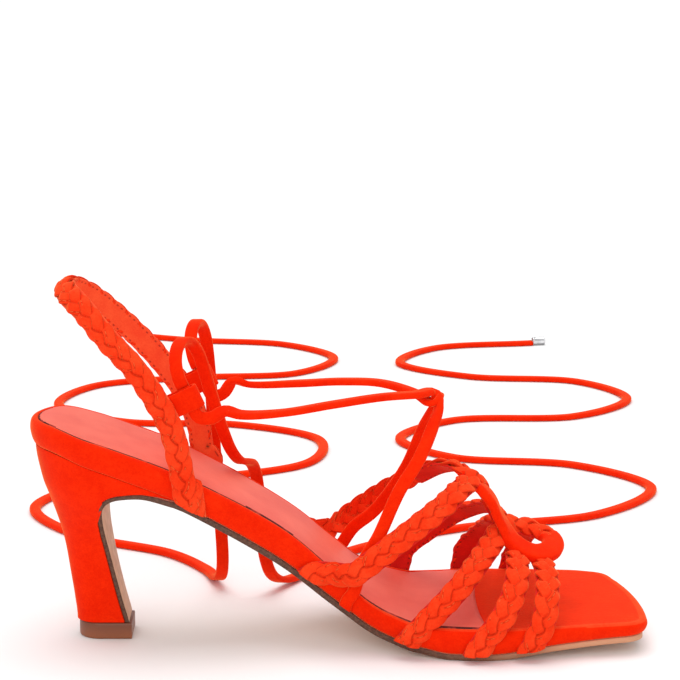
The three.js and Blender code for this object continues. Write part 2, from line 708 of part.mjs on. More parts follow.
// Rings of a swept strap: section gives [across, outward] pairs for a station
function sweep(list, section) {
  return loftRings(
    list.map((s) =>
      section(s).map(([u, v]) => s.point.clone().addScaledVector(s.across, u).addScaledVector(s.face, v)),
    ),
  );
}

// Plait on a strip of lining: its strips rise in turn on the left and the right
const plaitStep = plaitPitch / 3;
function plaitSection({ phase, plait }) {
  const dip = (shift) => plait * (0.5 - 0.5 * Math.cos(2 * Math.PI * (phase + shift)));
  const [left, right] = [dip(0), dip(0.5)];
  const half = braidWidth / 2;
  const under = half - 0.9;
  const thick = braidThickness / 2;
  const notch = 0.55;
  return [
    [-under, -thick],
    [-half + notch * left, -0.1 * thick],
    [-0.45 * half, thick - braidRelief * left],
    [0.45 * half, thick - braidRelief * right],
    [half - notch * right, -0.1 * thick],
    [under, -thick],
  ];
}

// Folded cord with softened edges
function tieSection() {
  const half = tieWidth / 2;
  const thick = tieThickness / 2;
  const soft = 0.7;
  return [
    [-half + soft, -thick],
    [-half, -thick + soft],
    [-half, thick - soft],
    [-half + soft, thick],
    [half - soft, thick],
    [half, thick - soft],
    [half, -thick + soft],
    [half - soft, -thick],
  ];
}

function braid(points) {
  return outward(sweep(stationsAlong(points, plaitStep), plaitSection));
}
const tieStep = 4.6;
function tie(points) {
  return outward(sweep(stationsAlong(points, tieStep), tieSection));
}
// A solid whose faces point outwards whichever way its rings ran
function outward(geometry) {
  const p = geometry.attributes.position;
  const index = Array.from(geometry.index.array);
  let volume = 0;
  const [a, b, c] = [new THREE.Vector3(), new THREE.Vector3(), new THREE.Vector3()];
  for (let i = 0; i < index.length; i += 3) {
    a.fromBufferAttribute(p, index[i]);
    b.fromBufferAttribute(p, index[i + 1]);
    c.fromBufferAttribute(p, index[i + 2]);
    volume += a.dot(b.cross(c));
  }
  if (volume < 0) {
    for (let i = 0; i < index.length; i += 3) {
      [index[i + 1], index[i + 2]] = [index[i + 2], index[i + 1]];
    }
    geometry.setIndex(index);
  }
  return solidOf(geometry);
}

// What the straps keep clear of: the midsole with its clearance, and everything under its lower edge
function underSole() {
  const points = [];
  for (let x = -seatSetback - 4; x <= soleLength; x += 4) points.push(new THREE.Vector2(x, midsoleUnder(x)));
  points.push(new THREE.Vector2(soleLength, -30), new THREE.Vector2(-seatSetback - 4, -30));
  return sidePlate(points, 3 * ballWidth);
}
const keepOff = midsoleBlock(clearance).add(underSole());

const feet = (along, side, thickness) => [
  footPoint(along[0], side, -0.35, thickness),
  footPoint(along[1], side, 0.45, thickness),
  footPoint(along[2], side, 0.95, thickness),
];
const through = (rows, plait = 1) => rows.map((row) => ({ ...strapPoint(row), plait }));
const vampFeet = {
  ridgeNear: [0.437, 0.466, 0.493],
  second: [0.61, 0.618, 0.626],
  third: [0.72, 0.725, 0.73],
  fourth: [0.808, 0.811, 0.815],
  ridgeFar: [0.425, 0.45, 0.48],
  secondFar: [0.59, 0.596, 0.604],
  thirdFar: [0.706, 0.71, 0.715],
  fourthFar: [0.795, 0.797, 0.799],
};

function upperVampGeometry() {
  const foot = (name, side) => feet(vampFeet[name], side, braidThickness);
  const smoothLoop = through(loopRows).map((p, i) => ({ ...p, plait: i < 3 ? 1 : i === 3 ? 0.5 : 0 }));
  const smoothRun = through(ridgeFarRows).map((p, i) => ({ ...p, plait: i < 6 ? 0 : 1 }));
  const ridge = [
    ...foot("ridgeNear", -1),
    ...through(ridgeNearRows),
    ...smoothLoop,
    ...smoothRun,
    ...foot("ridgeFar", 1).reverse(),
  ];
  const list = stationsAlong(ridge, plaitStep);
  const middle = Math.round(list.length * 0.52);
  const firstHalf = outward(sweep(list.slice(0, middle + 2), plaitSection));
  const secondHalf = outward(sweep(list.slice(middle), plaitSection));
  const limbs = [
    [...foot("second", -1), ...through(secondNearRows)],
    [...foot("third", -1), ...through(thirdNearRows)],
    [...foot("fourth", -1), ...through(fourthNearRows)],
    [...foot("secondFar", 1), ...through(secondFarRows)],
    [...foot("thirdFar", 1), ...through(thirdFarRows)],
    [...foot("fourthFar", 1), ...through(fourthFarRows)],
  ].map(braid);
  const whole = limbs.reduce((sum, limb) => sum.add(limb), firstHalf.add(secondHalf));
  return geometryOf(largest(whole.subtract(keepOff)));
}

function slingbackGeometry() {
  const points = [
    ...feet([0.272, 0.268, 0.265], -1, braidThickness),
    ...through(slingRows),
    ...feet([0.294, 0.289, 0.286], 1, braidThickness).reverse(),
  ];
  return geometryOf(largest(braid(points).subtract(keepOff)));
}

// Keepers. Each is a flat loop sewn to the inside of the slingback; lean is its turn about the Y axis.
const keepers = {
  medial: { along: 0.256, across: -0.914, rise: 0.553, side: -1 },
  lateral: { along: 0.269, across: 0.893, rise: 0.531, side: 1 },
};
const keeperLean = (24.8 * Math.PI) / 180;
const keeperThickness = tieThickness + 2 * (clearance + keeperWall);
const keeperForward = new THREE.Vector3(Math.cos(keeperLean), 0, Math.sin(keeperLean));
const keeperUp = new THREE.Vector3(-Math.sin(keeperLean), 0, Math.cos(keeperLean));
const tieAhead = keeperLength / 2 - 2 * keeperWall - tieWidth / 2; // the tie lies in the loop's front end
const keeperCentre = (k) =>
  new THREE.Vector3(
    xAt(k.along),
    k.across * edge(xAt(k.along), k.side),
    footbed(xAt(k.along)) + k.rise * instepHeight,
  );
// A point of the tie's way through a keeper, up from the keeper's middle
const inKeeper = (k, up) =>
  keeperCentre(k).addScaledVector(keeperForward, tieAhead).addScaledVector(keeperUp, up);

function flatLoop(length, thickness, height) {
  const r = thickness / 2;
  const points = [];
  for (const end of [1, -1]) {
    for (let i = 0; i <= 6; i += 1) {
      const turn = (-Math.PI / 2 + (Math.PI * i) / 6) * 1;
      points.push(new THREE.Vector2(end * (length / 2 - r + r * Math.cos(turn)), end * r * Math.sin(turn)));
    }
  }
  const geometry = new THREE.ExtrudeGeometry(new THREE.Shape(points), {
    depth: height,
    bevelEnabled: false,
    steps: 1,
  });
  geometry.translate(0, 0, -height / 2);
  return solidOf(geometry);
}

function keeperGeometry(k) {
  const slot = flatLoop(keeperLength - 2 * keeperWall, keeperThickness - 2 * keeperWall, 2 * keeperWidth);
  const loop = flatLoop(keeperLength, keeperThickness, keeperWidth).subtract(slot);
  const geometry = geometryOf(loop);
  geometry.rotateY(-keeperLean);
  const centre = keeperCentre(k);
  return geometry.translate(centre.x, centre.y, centre.z);
}

// Between its run over the instep and its keeper the tie drops a little and turns up into the loop.
const tieEnd = keeperWidth / 2 + 0.5; // where the held tie ends, up from the keeper's middle
function keeperEntry(k) {
  const ahead = inKeeper(k, -keeperWidth / 2);
  const face = new THREE.Vector3(0, k.side, 0);
  const at = (forward, up) => ahead.clone().addScaledVector(keeperForward, forward).addScaledVector(keeperUp, up);
  return [
    { point: at(10.5, k.side < 0 ? -8.2 : -3.5), face: new THREE.Vector3(0, 0.5 * k.side, 0.9), plait: 1 },
    { point: at(4.6, k.side < 0 ? -7 : -5), face: new THREE.Vector3(-0.2, k.side, 0.5), plait: 1 },
    { point: at(0.5, -3.6), face, plait: 1 },
    { point: ahead, face, plait: 1 },
    { point: inKeeper(k, 0), face, plait: 1 },
    { point: inKeeper(k, tieEnd), face, plait: 1 },
  ];
}

function instepTieSolid() {
  const near = [
    ...feet([0.508, 0.517, 0.526], -1, tieThickness),
    ...through(tieNearRows),
    ...through(tieNearRunRows),
    ...keeperEntry(keepers.medial),
  ];
  const far = [
    ...feet([0.492, 0.5, 0.509], 1, tieThickness),
    ...through(tieFarRows),
    ...through(tieFarRunRows),
    ...keeperEntry(keepers.lateral),
  ];
  return tie(near).add(tie(far));
}

// Free ends of the ties, as routes of [x, y, z] from the keepers to the metal ends. Both come down on the
// outer side and lie on the floor in loose bends.
const floorHeight = 1.5; // middle of a tie that lies on the floor
const medialRoute = [
  [32.45, -23.6, 104.45],
  [31.1, -23.7, 107.4],
  [29.8, -22.4, 112.9],
  [29.9, -18.8, 117.2],
  [31.2, -13.6, 119.4],
  [33.2, -8, 119.1],
  [35.3, -3.1, 116.3],
  [37.4, -0, 111.6],
  [40.2, 3.2, 101],
  [43.2, 7.4, 89],
  [46, 11.8, 78.2],
  [48.8, 16.4, 69.6],
  [51.8, 22.4, 64],
  [54.2, 29, 61.9],
  [56.2, 35.6, 59.2],
  [57.6, 40.2, 53.8],
  [58.6, 42.2, 46],
  [59.8, 43, 30],
  [61, 45.2, 17.4],
  [63.6, 50.6, 8.2],
  [68.2, 59, 3.4],
  [79, 78, floorHeight],
  [96, 107, floorHeight],
  [145, 143, floorHeight],
  [208, 165, floorHeight],
  [238, 212, floorHeight],
  [205, 254, floorHeight],
  [148, 268, floorHeight],
  [122, 306, floorHeight],
  [152, 346, floorHeight],
  [214, 354, floorHeight],
  [246, 394, floorHeight],
  [222, 436, floorHeight],
  [164, 448, floorHeight],
  [126, 482, floorHeight],
  [148, 524, floorHeight],
  [205, 538, floorHeight],
];
const lateralRoute = [
  [35.5, 23.1, 101.75],
  [34.2, 23.2, 104.8],
  [33, 24.4, 110.1],
  [32.9, 27.8, 114.3],
  [33.8, 32.7, 116.7],
  [35, 38.1, 116.7],
  [36.2, 43, 114.3],
  [37.3, 46.4, 110.1],
  [38.1, 47.6, 104.8],
  [39.3, 48.4, 90],
  [40.6, 48, 66],
  [42, 47.6, 42],
  [43.2, 48.4, 25],
  [43.4, 51, 13.6],
  [42.4, 57.2, 6],
  [40, 65, 2.7],
  [35, 80, floorHeight],
  [18, 104, floorHeight],
  [-24, 132, floorHeight],
  [-48, 178, floorHeight],
  [-22, 220, floorHeight],
  [34, 232, floorHeight],
  [76, 258, floorHeight],
  [80, 306, floorHeight],
  [38, 336, floorHeight],
  [-20, 342, floorHeight],
  [-58, 378, floorHeight],
  [-42, 426, floorHeight],
  [12, 446, floorHeight],
  [66, 456, floorHeight],
  [88, 496, floorHeight],
  [58, 534, floorHeight],
  [4, 546, floorHeight],
  [-44, 566, floorHeight],
];
const cordSteps = 78;
const routeCurve = (route) =>
  new THREE.CatmullRomCurve3(route.map((p) => new THREE.Vector3(...p)), false, "centripetal");
function cordGeometry(route) {
  const curve = routeCurve(route);
  const frames = curve.computeFrenetFrames(cordSteps, false);
  const [normal, binormal] = [frames.normals[cordSteps], frames.binormals[cordSteps]];
  const turn = Math.atan2(-normal.z, binormal.z); // lays the tie's wide face flat on the floor
  const points = tieSection().map(([u, v]) => {
    return new THREE.Vector2(u * Math.cos(turn) - v * Math.sin(turn), u * Math.sin(turn) + v * Math.cos(turn));
  });
  return new THREE.ExtrudeGeometry(new THREE.Shape(points), {
    steps: cordSteps,
    bevelEnabled: false,
    extrudePath: curve,
  });
}

// A metal end lies on the floor past the end of its tie, in line with it.
function tieTipGeometry(route) {
  const r = tieTipDiameter / 2;
  const soft = 0.4;
  const half = tieTipLength / 2;
  const profile = [
    [0, -half],
    [r - soft, -half],
    [r, -half + soft],
    [r, half - soft],
    [r - soft, half],
    [0, half],
  ].map(([x, y]) => new THREE.Vector2(x, y));
  const geometry = new THREE.LatheGeometry(profile, 20);
  const curve = routeCurve(route);
  const run = curve.getTangent(1).setZ(0).normalize();
  const centre = curve.getPoint(1).addScaledVector(run, clearance + half).setZ(r + 0.1);
  geometry.applyQuaternion(new THREE.Quaternion().setFromUnitVectors(new THREE.Vector3(0, 1, 0), run));
  return geometryOf(outward(mergeVertices(bareOf(geometry), 1e-4)).translate(centre.toArray()));
}

const group = new THREE.Group();
function addPiece(name, geometry, material) {
  const mesh = new THREE.Mesh(geometry, material);
  mesh.name = name;
  group.add(mesh);
}

addPiece("outsole", outsoleGeometry(), soleTan);
addPiece("midsole", midsoleGeometry(), suede);
addPiece("insole", insoleGeometry(), lining);
addPiece("heel", heelGeometry(), suede);
addPiece("heel_tip", heelTipGeometry(), tipBrown);

addPiece("upper_vamp", upperVampGeometry(), suede);
addPiece("slingback", slingbackGeometry(), suede);
addPiece("instep_tie", geometryOf(largest(instepTieSolid().subtract(keepOff))), suede);
addPiece("keeper_medial", keeperGeometry(keepers.medial), suede);
addPiece("keeper_lateral", keeperGeometry(keepers.lateral), suede);
addPiece("tie_medial", cordGeometry(medialRoute), suede);
addPiece("tie_lateral", cordGeometry(lateralRoute), suede);
addPiece("tip_medial", tieTipGeometry(medialRoute), polished);
addPiece("tip_lateral", tieTipGeometry(lateralRoute), polished);

export default group;
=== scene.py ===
# Heeled sandal for the left foot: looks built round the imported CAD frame
import math

import bmesh
import bpy
from mathutils import Matrix, Vector, noise


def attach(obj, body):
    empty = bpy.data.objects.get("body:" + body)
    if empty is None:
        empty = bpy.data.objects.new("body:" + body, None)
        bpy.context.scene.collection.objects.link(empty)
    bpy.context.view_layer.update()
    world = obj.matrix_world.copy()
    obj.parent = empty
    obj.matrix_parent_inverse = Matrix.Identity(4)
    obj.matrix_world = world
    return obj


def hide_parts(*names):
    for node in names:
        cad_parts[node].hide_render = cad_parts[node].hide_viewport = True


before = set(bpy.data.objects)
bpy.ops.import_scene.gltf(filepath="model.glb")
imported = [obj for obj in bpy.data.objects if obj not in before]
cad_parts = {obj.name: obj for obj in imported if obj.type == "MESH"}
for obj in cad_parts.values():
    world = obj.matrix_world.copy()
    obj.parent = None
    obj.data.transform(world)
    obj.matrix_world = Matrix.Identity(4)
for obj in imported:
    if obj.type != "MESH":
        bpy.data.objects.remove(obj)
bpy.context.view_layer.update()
mm = 0.001  # everything below is worked out in millimetres and stored in metres

camera = {
    "place": (0.0916, -0.995, 0.329),
    "pitch": 78.0,  # degrees up from straight down
    "lens": 140.3,
}


def makeCamera():
    data = bpy.data.cameras.new("camera")
    data.lens = camera["lens"]
    data.sensor_width = 36.0
    data.clip_start = 0.05
    data.clip_end = 60.0
    obj = bpy.data.objects.new("camera", data)
    obj.location = camera["place"]
    obj.rotation_euler = (math.radians(camera["pitch"]), 0.0, 0.0)
    bpy.context.scene.collection.objects.link(obj)
    bpy.context.scene.camera = obj


makeCamera()
print("camera placed")


# shader maths
def addNode(tree, kind, settings=None, sockets=None, outlet=0):
    # settings first, then each socket's value or link
    made = tree.nodes.new(kind)
    for key, value in (settings or {}).items():
        setattr(made, key, value)
    for key, value in (sockets or {}).items():
        socket = made.inputs[key]
        if isinstance(value, Wire):
            tree.links.new(value.socket, socket)
        elif socket.type == "RGBA" and len(value) == 3:
            socket.default_value = (*value, 1.0)
        else:
            socket.default_value = value
    return Wire(tree, made.outputs[outlet]) if made.outputs else None


class Wire:
    def __init__(self, tree, socket):
        self.tree = tree
        self.socket = socket

    def math(self, operation, *others):
        sockets = dict(enumerate((self, *others)))
        return addNode(self.tree, "ShaderNodeMath", {"operation": operation}, sockets)

    def flipped(self, operation, other):
        return addNode(self.tree, "ShaderNodeMath", {"operation": operation}, {0: other, 1: self})

    def __add__(self, other):
        return self.math("ADD", other)

    __radd__ = __add__

    def __mul__(self, other):
        return self.math("MULTIPLY", other)

    __rmul__ = __mul__

    def __sub__(self, other):
        return self.math("SUBTRACT", other)

    def __rsub__(self, other):
        return self.flipped("SUBTRACT", other)

    def __truediv__(self, other):
        return self.math("DIVIDE", other)

    def __rtruediv__(self, other):
        return self.flipped("DIVIDE", other)

    def __mod__(self, other):
        return self.math("FLOORED_MODULO", other)

    def __abs__(self):
        return self.math("ABSOLUTE")

    def step(self, low, high):  # 0 below low, 1 above high, smooth between
        sockets = {"Value": self, "From Min": low, "From Max": high}
        return addNode(self.tree, "ShaderNodeMapRange", {"interpolation_type": "SMOOTHSTEP"}, sockets)


class Finish:
    def __init__(self, name):
        self.material = bpy.data.materials.new(name)
        self.material.use_nodes = True
        self.tree = self.material.node_tree
        self.tree.nodes.clear()
        self.place = self.node("ShaderNodeTexCoord", outlet="Object")

    def node(self, kind, settings=None, outlet=0, **sockets):
        named = {key.replace("_", " "): value for key, value in sockets.items()}
        return addNode(self.tree, kind, settings, named, outlet)

    def uv(self, name):
        return self.node("ShaderNodeUVMap", {"uv_map": name})

    def parts(self, vector):
        first = self.node("ShaderNodeSeparateXYZ", Vector=vector)
        return [Wire(self.tree, output) for output in first.socket.node.outputs]

    def grain(self, scale, detail=2.0, roughness=0.5, stretch=None):
        vector = self.place
        if stretch:
            vector = self.node("ShaderNodeMapping", Vector=vector, Scale=stretch)
        return self.node("ShaderNodeTexNoise", Vector=vector, Scale=scale, Detail=detail, Roughness=roughness)

    def cells(self, scale):
        feature = {"feature": "DISTANCE_TO_EDGE"}
        return self.node("ShaderNodeTexVoronoi", feature, Vector=self.place, Scale=scale)

    def mix(self, factor, a, b):
        return addNode(self.tree, "ShaderNodeMix", {"data_type": "RGBA"}, {0: factor, 6: a, 7: b}, 2)

    def bump(self, height, depth, strength=1.0):
        return self.node("ShaderNodeBump", Height=height, Distance=depth, Strength=strength)

    def surface(self, color, roughness, normal=None, **fixed):
        if normal is not None:
            fixed["Normal"] = normal
        shader = self.node("ShaderNodeBsdfPrincipled", Base_Color=color, Roughness=roughness, **fixed)
        self.node("ShaderNodeOutputMaterial", Surface=shader)
        return self.material


suedeTones = {
    "lit": (0.92, 0.024, 0.002),
    "deep": (0.8, 0.013, 0.001),
    "bright": (0.95, 0.048, 0.008),
    # crease: painted shade for the edges of plait cords and the dents round their stitches
    "crease": (0.4, 0.006, 0.001),
    "sheen": (1.0, 0.5, 0.13, 1.0),
    "gleam": (1.0, 0.4, 0.12, 1.0),
    "nap": 1500.0,  # fibres a metre
    "patches": 95.0,
    "napDepth": 0.00022,
}
cordToneAndToeSheen = {  # warmer, lighter tones: the cords of the plaits, and painted sheen on the top of the toe
    "lit": (0.94, 0.06, 0.014),
    "deep": (0.86, 0.033, 0.006),
    "bright": (0.98, 0.11, 0.035),
}


def suedeFinish(name, stitchAt=None, tones=suedeTones):
    # napped leather: brushed patches over fine fibres
    made = Finish(name)
    fibres = made.grain(suedeTones["nap"], 3.0, 0.65)
    lint = made.grain(suedeTones["nap"] * 0.33, 2.0, 0.6)
    patches = made.grain(suedeTones["patches"], 3.0, 0.6)
    tone = (fibres * 0.45 + lint * 0.25 + patches * 0.5).step(0.42, 0.78)
    color = made.mix(tone, tones["deep"], tones["lit"])
    color = made.mix((patches * 0.5 + fibres * 0.5).step(0.58, 0.8) * 0.55, color, tones["bright"])
    height = fibres * 0.6 + lint * 0.4
    if stitchAt is not None:  # a folded cord gets painted shade along its edges and in the dents round its sparse, lighter stitches
        run, across, _ = made.parts(made.uv("strip"))
        half = stitchAt["half"]
        away = abs(across - stitchAt["row"])
        row = 1.0 - away.step(half * 0.6, half)
        phase = (run / stitchAt["pitch"]) % 1.0
        dash = 1.0 - abs(phase - 0.5).step(0.27, 0.36)
        sparse = made.grain(stitchAt["sparse"], 1.0, 0.5).step(0.5, 0.56)
        thread = row * dash * sparse
        dentAndShadeMask = (1.0 - away.step(half, half * 2.6)) * (1.0 - thread) * sparse
        # painted shade: darker towards both edges of the cord and in the stitch dents
        color = made.mix(abs(across - 0.5).step(0.37, 0.49) * 0.5, color, suedeTones["crease"])
        color = made.mix(dentAndShadeMask * 0.4, color, suedeTones["crease"])
        color = made.mix(thread * 0.6, color, stitchAt["color"])
        height = height * 0.5 + thread * 1.2 - dentAndShadeMask
    return made.surface(
        color,
        0.9,
        made.bump(height, suedeTones["napDepth"], 0.7),
        Specular_IOR_Level=0.15,
        Specular_Tint=suedeTones["gleam"],
        Sheen_Weight=0.5,
        Sheen_Roughness=0.3,
        Sheen_Tint=suedeTones["sheen"],
    )


cordStitch = {
    "row": 0.27,  # across the cord
    "half": 0.04,
    "pitch": 0.0023,
    "sparse": 210.0,
    "color": (1.0, 0.17, 0.05),
}
suedeWrap = suedeFinish("suedeWrap")
suedeTie = suedeFinish("suedeTie")
suedeCord = suedeFinish("suedeCord", cordStitch, cordToneAndToeSheen)
# painted sheen: the top of the toe gets the warmer, lighter tones
suedeToeSheen = suedeFinish("suedeToeSheen", tones=cordToneAndToeSheen)


liningTones = {
    "base": (0.9, 0.165, 0.105),
    "shade": (0.8, 0.11, 0.072),
    "pore": 1300.0,
}


def liningFinish():
    made = Finish("coralLining")
    pores = made.cells(liningTones["pore"])
    cloud = made.grain(40.0, 3.0, 0.55)
    fine = made.grain(2600.0, 2.0, 0.5)
    color = made.mix(cloud.step(0.3, 0.75), liningTones["shade"], liningTones["base"])
    height = pores.step(0.0, 0.35) * 0.6 + fine * 0.4
    return made.surface(color, 0.48 + fine * 0.14, made.bump(height, 0.00009, 0.6), Specular_IOR_Level=0.4)


coralLining = liningFinish()


def edgeFinish():
    # cut edge of the lining, dark where it meets the suede rim: partly its own dark colour, partly painted
    # shade of the seam
    made = Finish("liningEdgeSeamShade")
    broken = made.grain(160.0, 3.0, 0.6)
    color = made.mix(broken.step(0.5, 0.66), (0.09, 0.012, 0.01), (0.5, 0.05, 0.035))
    return made.surface(color, 0.7, made.bump(broken, 0.00005, 0.5), Specular_IOR_Level=0.2)


liningEdgeSeamShade = edgeFinish()


soleTones = {
    # the edge tones are painted shade: dark under the shank and ball, with toeEdge lighter towards the toe
    "edge": (0.075, 0.028, 0.015),
    "edgeLight": (0.15, 0.065, 0.036),
    "toeEdge": (0.74, 0.36, 0.2),
    "shade": (0.6, 0.36, 0.24),
    "cover": (0.74, 0.46, 0.31),
}


def soleFinish():
    # thin tan sheet: even underside, fine lengthwise polish marks, and an edge painted dark as shade under
    # the shank and ball, lighter towards the toe
    made = Finish("tanSole")
    fine = made.grain(900.0, 3.0, 0.6)
    streak = made.grain(260.0, 2.0, 0.5, stretch=(0.15, 1.0, 1.0))
    _, across, _ = made.parts(made.uv("strip"))
    rim = across.step(0.5, 0.501)
    ahead, _, _ = made.parts(made.place)
    face = made.mix(streak.step(0.3, 0.7), soleTones["shade"], soleTones["cover"])
    # painted shade: the trimmed edge stays dark back from the toe and lightens towards it
    trimmed = made.mix(fine.step(0.35, 0.7), soleTones["edge"], soleTones["edgeLight"])
    trimmed = made.mix(ahead.step(0.12, 0.19) * 0.85, trimmed, soleTones["toeEdge"])
    color = made.mix(rim, face, trimmed)
    relief = made.bump(fine + streak * 0.5, 0.00006, 0.5)
    return made.surface(color, 0.55 + fine * 0.15, relief, Specular_IOR_Level=0.4)


tanSole = soleFinish()


def tipFinish():
    made = Finish("tipBrown")
    _, _, up = made.parts(made.place)
    fine = made.grain(1400.0, 3.0, 0.6)
    rise = up.step(0.0, 0.0062)
    color = made.mix(rise * 0.85 + fine * 0.15, (0.3, 0.09, 0.033), (0.17, 0.045, 0.017))
    return made.surface(color, 0.34 + fine * 0.18, made.bump(fine, 0.00005, 0.5), Specular_IOR_Level=0.5)


tipBrown = tipFinish()


def metalFinish():
    made = Finish("polishedMetal")
    fine = made.grain(500.0, 3.0, 0.55)
    color = made.mix(fine.step(0.3, 0.7), (0.62, 0.62, 0.64), (0.82, 0.82, 0.83))
    return made.surface(color, 0.1 + fine * 0.12, made.bump(fine, 0.00002, 0.4), Metallic=1.0)


polishedMetal = metalFinish()
print("finishes made")

sole = {
    "length": 237.0,  # back of the heel seat to the toe
    "setback": 28.0,  # back of the seat to the middle of the heel tip
    "seatHeight": 88.0,
    "seatWidth": 53.0,
    "waistWidth": 47.5,
    "ballWidth": 84.0,
    "toeWidth": 66.0,
    "toeCorner": 9.0,
    "toeSlant": 7.6,  # how far the outer corner lies behind the inner one
    "toeBulge": 2.4,  # how far the front edge bows forward between its corners
    "toeReach": 1.0,  # how far the inner corner lies past the length
    "toeStart": 0.72,  # where along the sole the outer side starts to fall back
    "toeLean": 0.34,  # how far the outer corner leans into the front edge
    "midsole": 9.8,  # thickness at the ball
    "outsole": 2.4,
    "toeThickness": 7.8,
    "gap": 0.3,
    "instep": 54.0,  # unit for how high the straps stand over the footbed
}
treadHeight = sole["midsole"] + sole["gap"] + sole["outsole"]


def slopeCurve(rows):
    # smooth curve through (place, value) rows that never overshoots them
    places = [r[0] for r in rows]
    values = [r[1] for r in rows]
    secants = [(values[i + 1] - values[i]) / (places[i + 1] - places[i]) for i in range(len(rows) - 1)]
    slopes = [0.0]
    for a, b in zip(secants, secants[1:]):
        slopes.append(0.0 if a * b <= 0 else 2 * a * b / (a + b))
    slopes.append(0.0)

    def at(place):
        if place <= places[0]:
            return values[0]
        if place >= places[-1]:
            return values[-1]
        i = 0
        while places[i + 1] <= place:
            i += 1
        span = places[i + 1] - places[i]
        t = (place - places[i]) / span
        s = 1 - t
        return (
            values[i] * s * s * (1 + 2 * t)
            + values[i + 1] * t * t * (1 + 2 * s)
            + span * (slopes[i] * t * s * s - slopes[i + 1] * t * t * s)
        )

    return at


seat, waist, ball, toe = (sole[k] for k in ("seatWidth", "waistWidth", "ballWidth", "toeWidth"))
outlineRows = [  # along the sole, half width on the inner side, half width on the outer side
    (0.0, 0.5 * seat, 0.5 * seat),
    (0.2, 0.5 * seat, 0.5 * seat),
    (0.31, 0.516 * waist, 0.537 * waist),
    (0.41, 0.453 * waist, 0.547 * waist),
    (0.5, 0.463 * waist, 0.632 * waist),
    (0.58, 0.345 * ball, 0.452 * ball),
    (0.67, 0.423 * ball, 0.536 * ball),
    (0.73, 0.44 * ball, 0.56 * ball),
    (0.81, 0.423 * ball, 0.554 * ball),
    (0.92, 0.462 * toe, 0.68 * toe),
    (1.0, 0.425 * toe, 0.62 * toe),
]
innerAt = slopeCurve([(r[0], r[1]) for r in outlineRows])
outerAt = slopeCurve([(r[0], r[2]) for r in outlineRows])
toeShare = sole["toeThickness"] / treadHeight
profileRows = [  # along the sole, rise of the footbed to the seat, depth of the tread under it
    (0.0, 1.0, 1.0),
    (0.03, 0.998, 1.0),
    (0.1, 0.937, 1.05),
    (0.16, 0.872, 1.07),
    (0.23, 0.787, 1.09),
    (0.31, 0.66, 1.15),
    (0.37, 0.55, 1.2),
    (0.43, 0.424, 1.22),
    (0.49, 0.258, 1.13),
    (0.55, 0.1, 0.95),
    (0.59, 0.042, 0.9),
    (0.63, 0.008, 0.9),
    (0.685, 0.0, 1.0),
    (0.75, 0.0, 1.0),
    (0.85, 0.0, 0.35 + 0.68 * toeShare),
    (1.0, 0.0, toeShare),
]
riseAt = slopeCurve([(r[0], r[1]) for r in profileRows])
depthAt = slopeCurve([(r[0], r[2]) for r in profileRows])


def alongAt(x):
    return (x + sole["setback"]) / sole["length"]


def xAt(along):
    return along * sole["length"] - sole["setback"]


def edgeAt(x, side):
    return innerAt(alongAt(x)) if side < 0 else outerAt(alongAt(x))


def footbed(x):
    return treadHeight + (sole["seatHeight"] - treadHeight) * riseAt(alongAt(x))


def treadAt(x):
    return footbed(x) - treadHeight * depthAt(alongAt(x))


def outsoleTop(x):
    return treadAt(x) + sole["outsole"] * math.hypot(1.0, (treadAt(x + 1) - treadAt(x - 1)) / 2)


def midsoleUnder(x):
    return outsoleTop(x) + sole["gap"]


def seatUnder(x):
    return midsoleUnder(x) - sole["gap"]


stationCounts = {"heel": 24, "side": 92, "toe": 12, "front": 14}


def soleStations():
    # along the sole, share of the width, corner cut from it, share of the way to the middle of the front
    heelRound = 0.5 * sole["seatWidth"] * 1.02
    toeEnd = sole["length"] + sole["toeReach"]
    radius = sole["toeCorner"]
    cornerStart = toeEnd - radius
    places = []
    for i in range(stationCounts["heel"]):
        turn = math.pi / 2 * (i + 0.25) / stationCounts["heel"]
        places.append((heelRound * (1 - math.cos(turn)), math.sin(turn), 0.0, 0.0))
    for i in range(stationCounts["side"]):
        places.append((heelRound + (cornerStart - heelRound) * i / stationCounts["side"], 1.0, 0.0, 0.0))
    for i in range(stationCounts["toe"] + 1):
        turn = math.pi / 2 * i / stationCounts["toe"]
        places.append((cornerStart + radius * math.sin(turn), 1.0, radius * (1 - math.cos(turn)), 0.0))
    for i in range(1, stationCounts["front"]):
        places.append((toeEnd, 1.0, radius, i / (stationCounts["front"] - 0.5)))
    return [(x - sole["setback"], pull, corner, front) for x, pull, corner, front in places]


stations = soleStations()


def outlinePoint(station, side):
    x, pull, corner, front = station
    across = side * (edgeAt(x, side) * pull - corner) * (1 - front)
    if front:
        near, far = corner - innerAt(x), outerAt(x) - corner
        share = (across - near) / (far - near)
        return Vector((x - sole["toeSlant"] * share + sole["toeBulge"] * 4 * share * (1 - share), across))
    if side < 0:
        return Vector((x, across))
    start, radius = sole["toeStart"], sole["toeCorner"]
    ramp = max(0.0, (alongAt(x) - start) / (1 - start)) ** 1.6
    left = 1 - corner / radius
    lean = sole["toeLean"] * radius * left * (1 - left) ** 2 if corner else 0.0
    return Vector((x - sole["toeSlant"] * ramp - lean, across))


outline = [outlinePoint(s, -1) for s in stations] + [outlinePoint(s, 1) for s in reversed(stations)]


def insetLoop(inset):
    count = len(outline)
    moved = []
    for i, p in enumerate(outline):
        run = (outline[(i + 1) % count] - outline[i - 1]).normalized()
        moved.append(Vector((p.x - run.y * inset, p.y + run.x * inset)))
    return moved


def lerp(a, b, t):
    return a + (b - a) * t


def ease(t):
    t = min(1.0, max(0.0, t))
    return t * t * (3 - 2 * t)


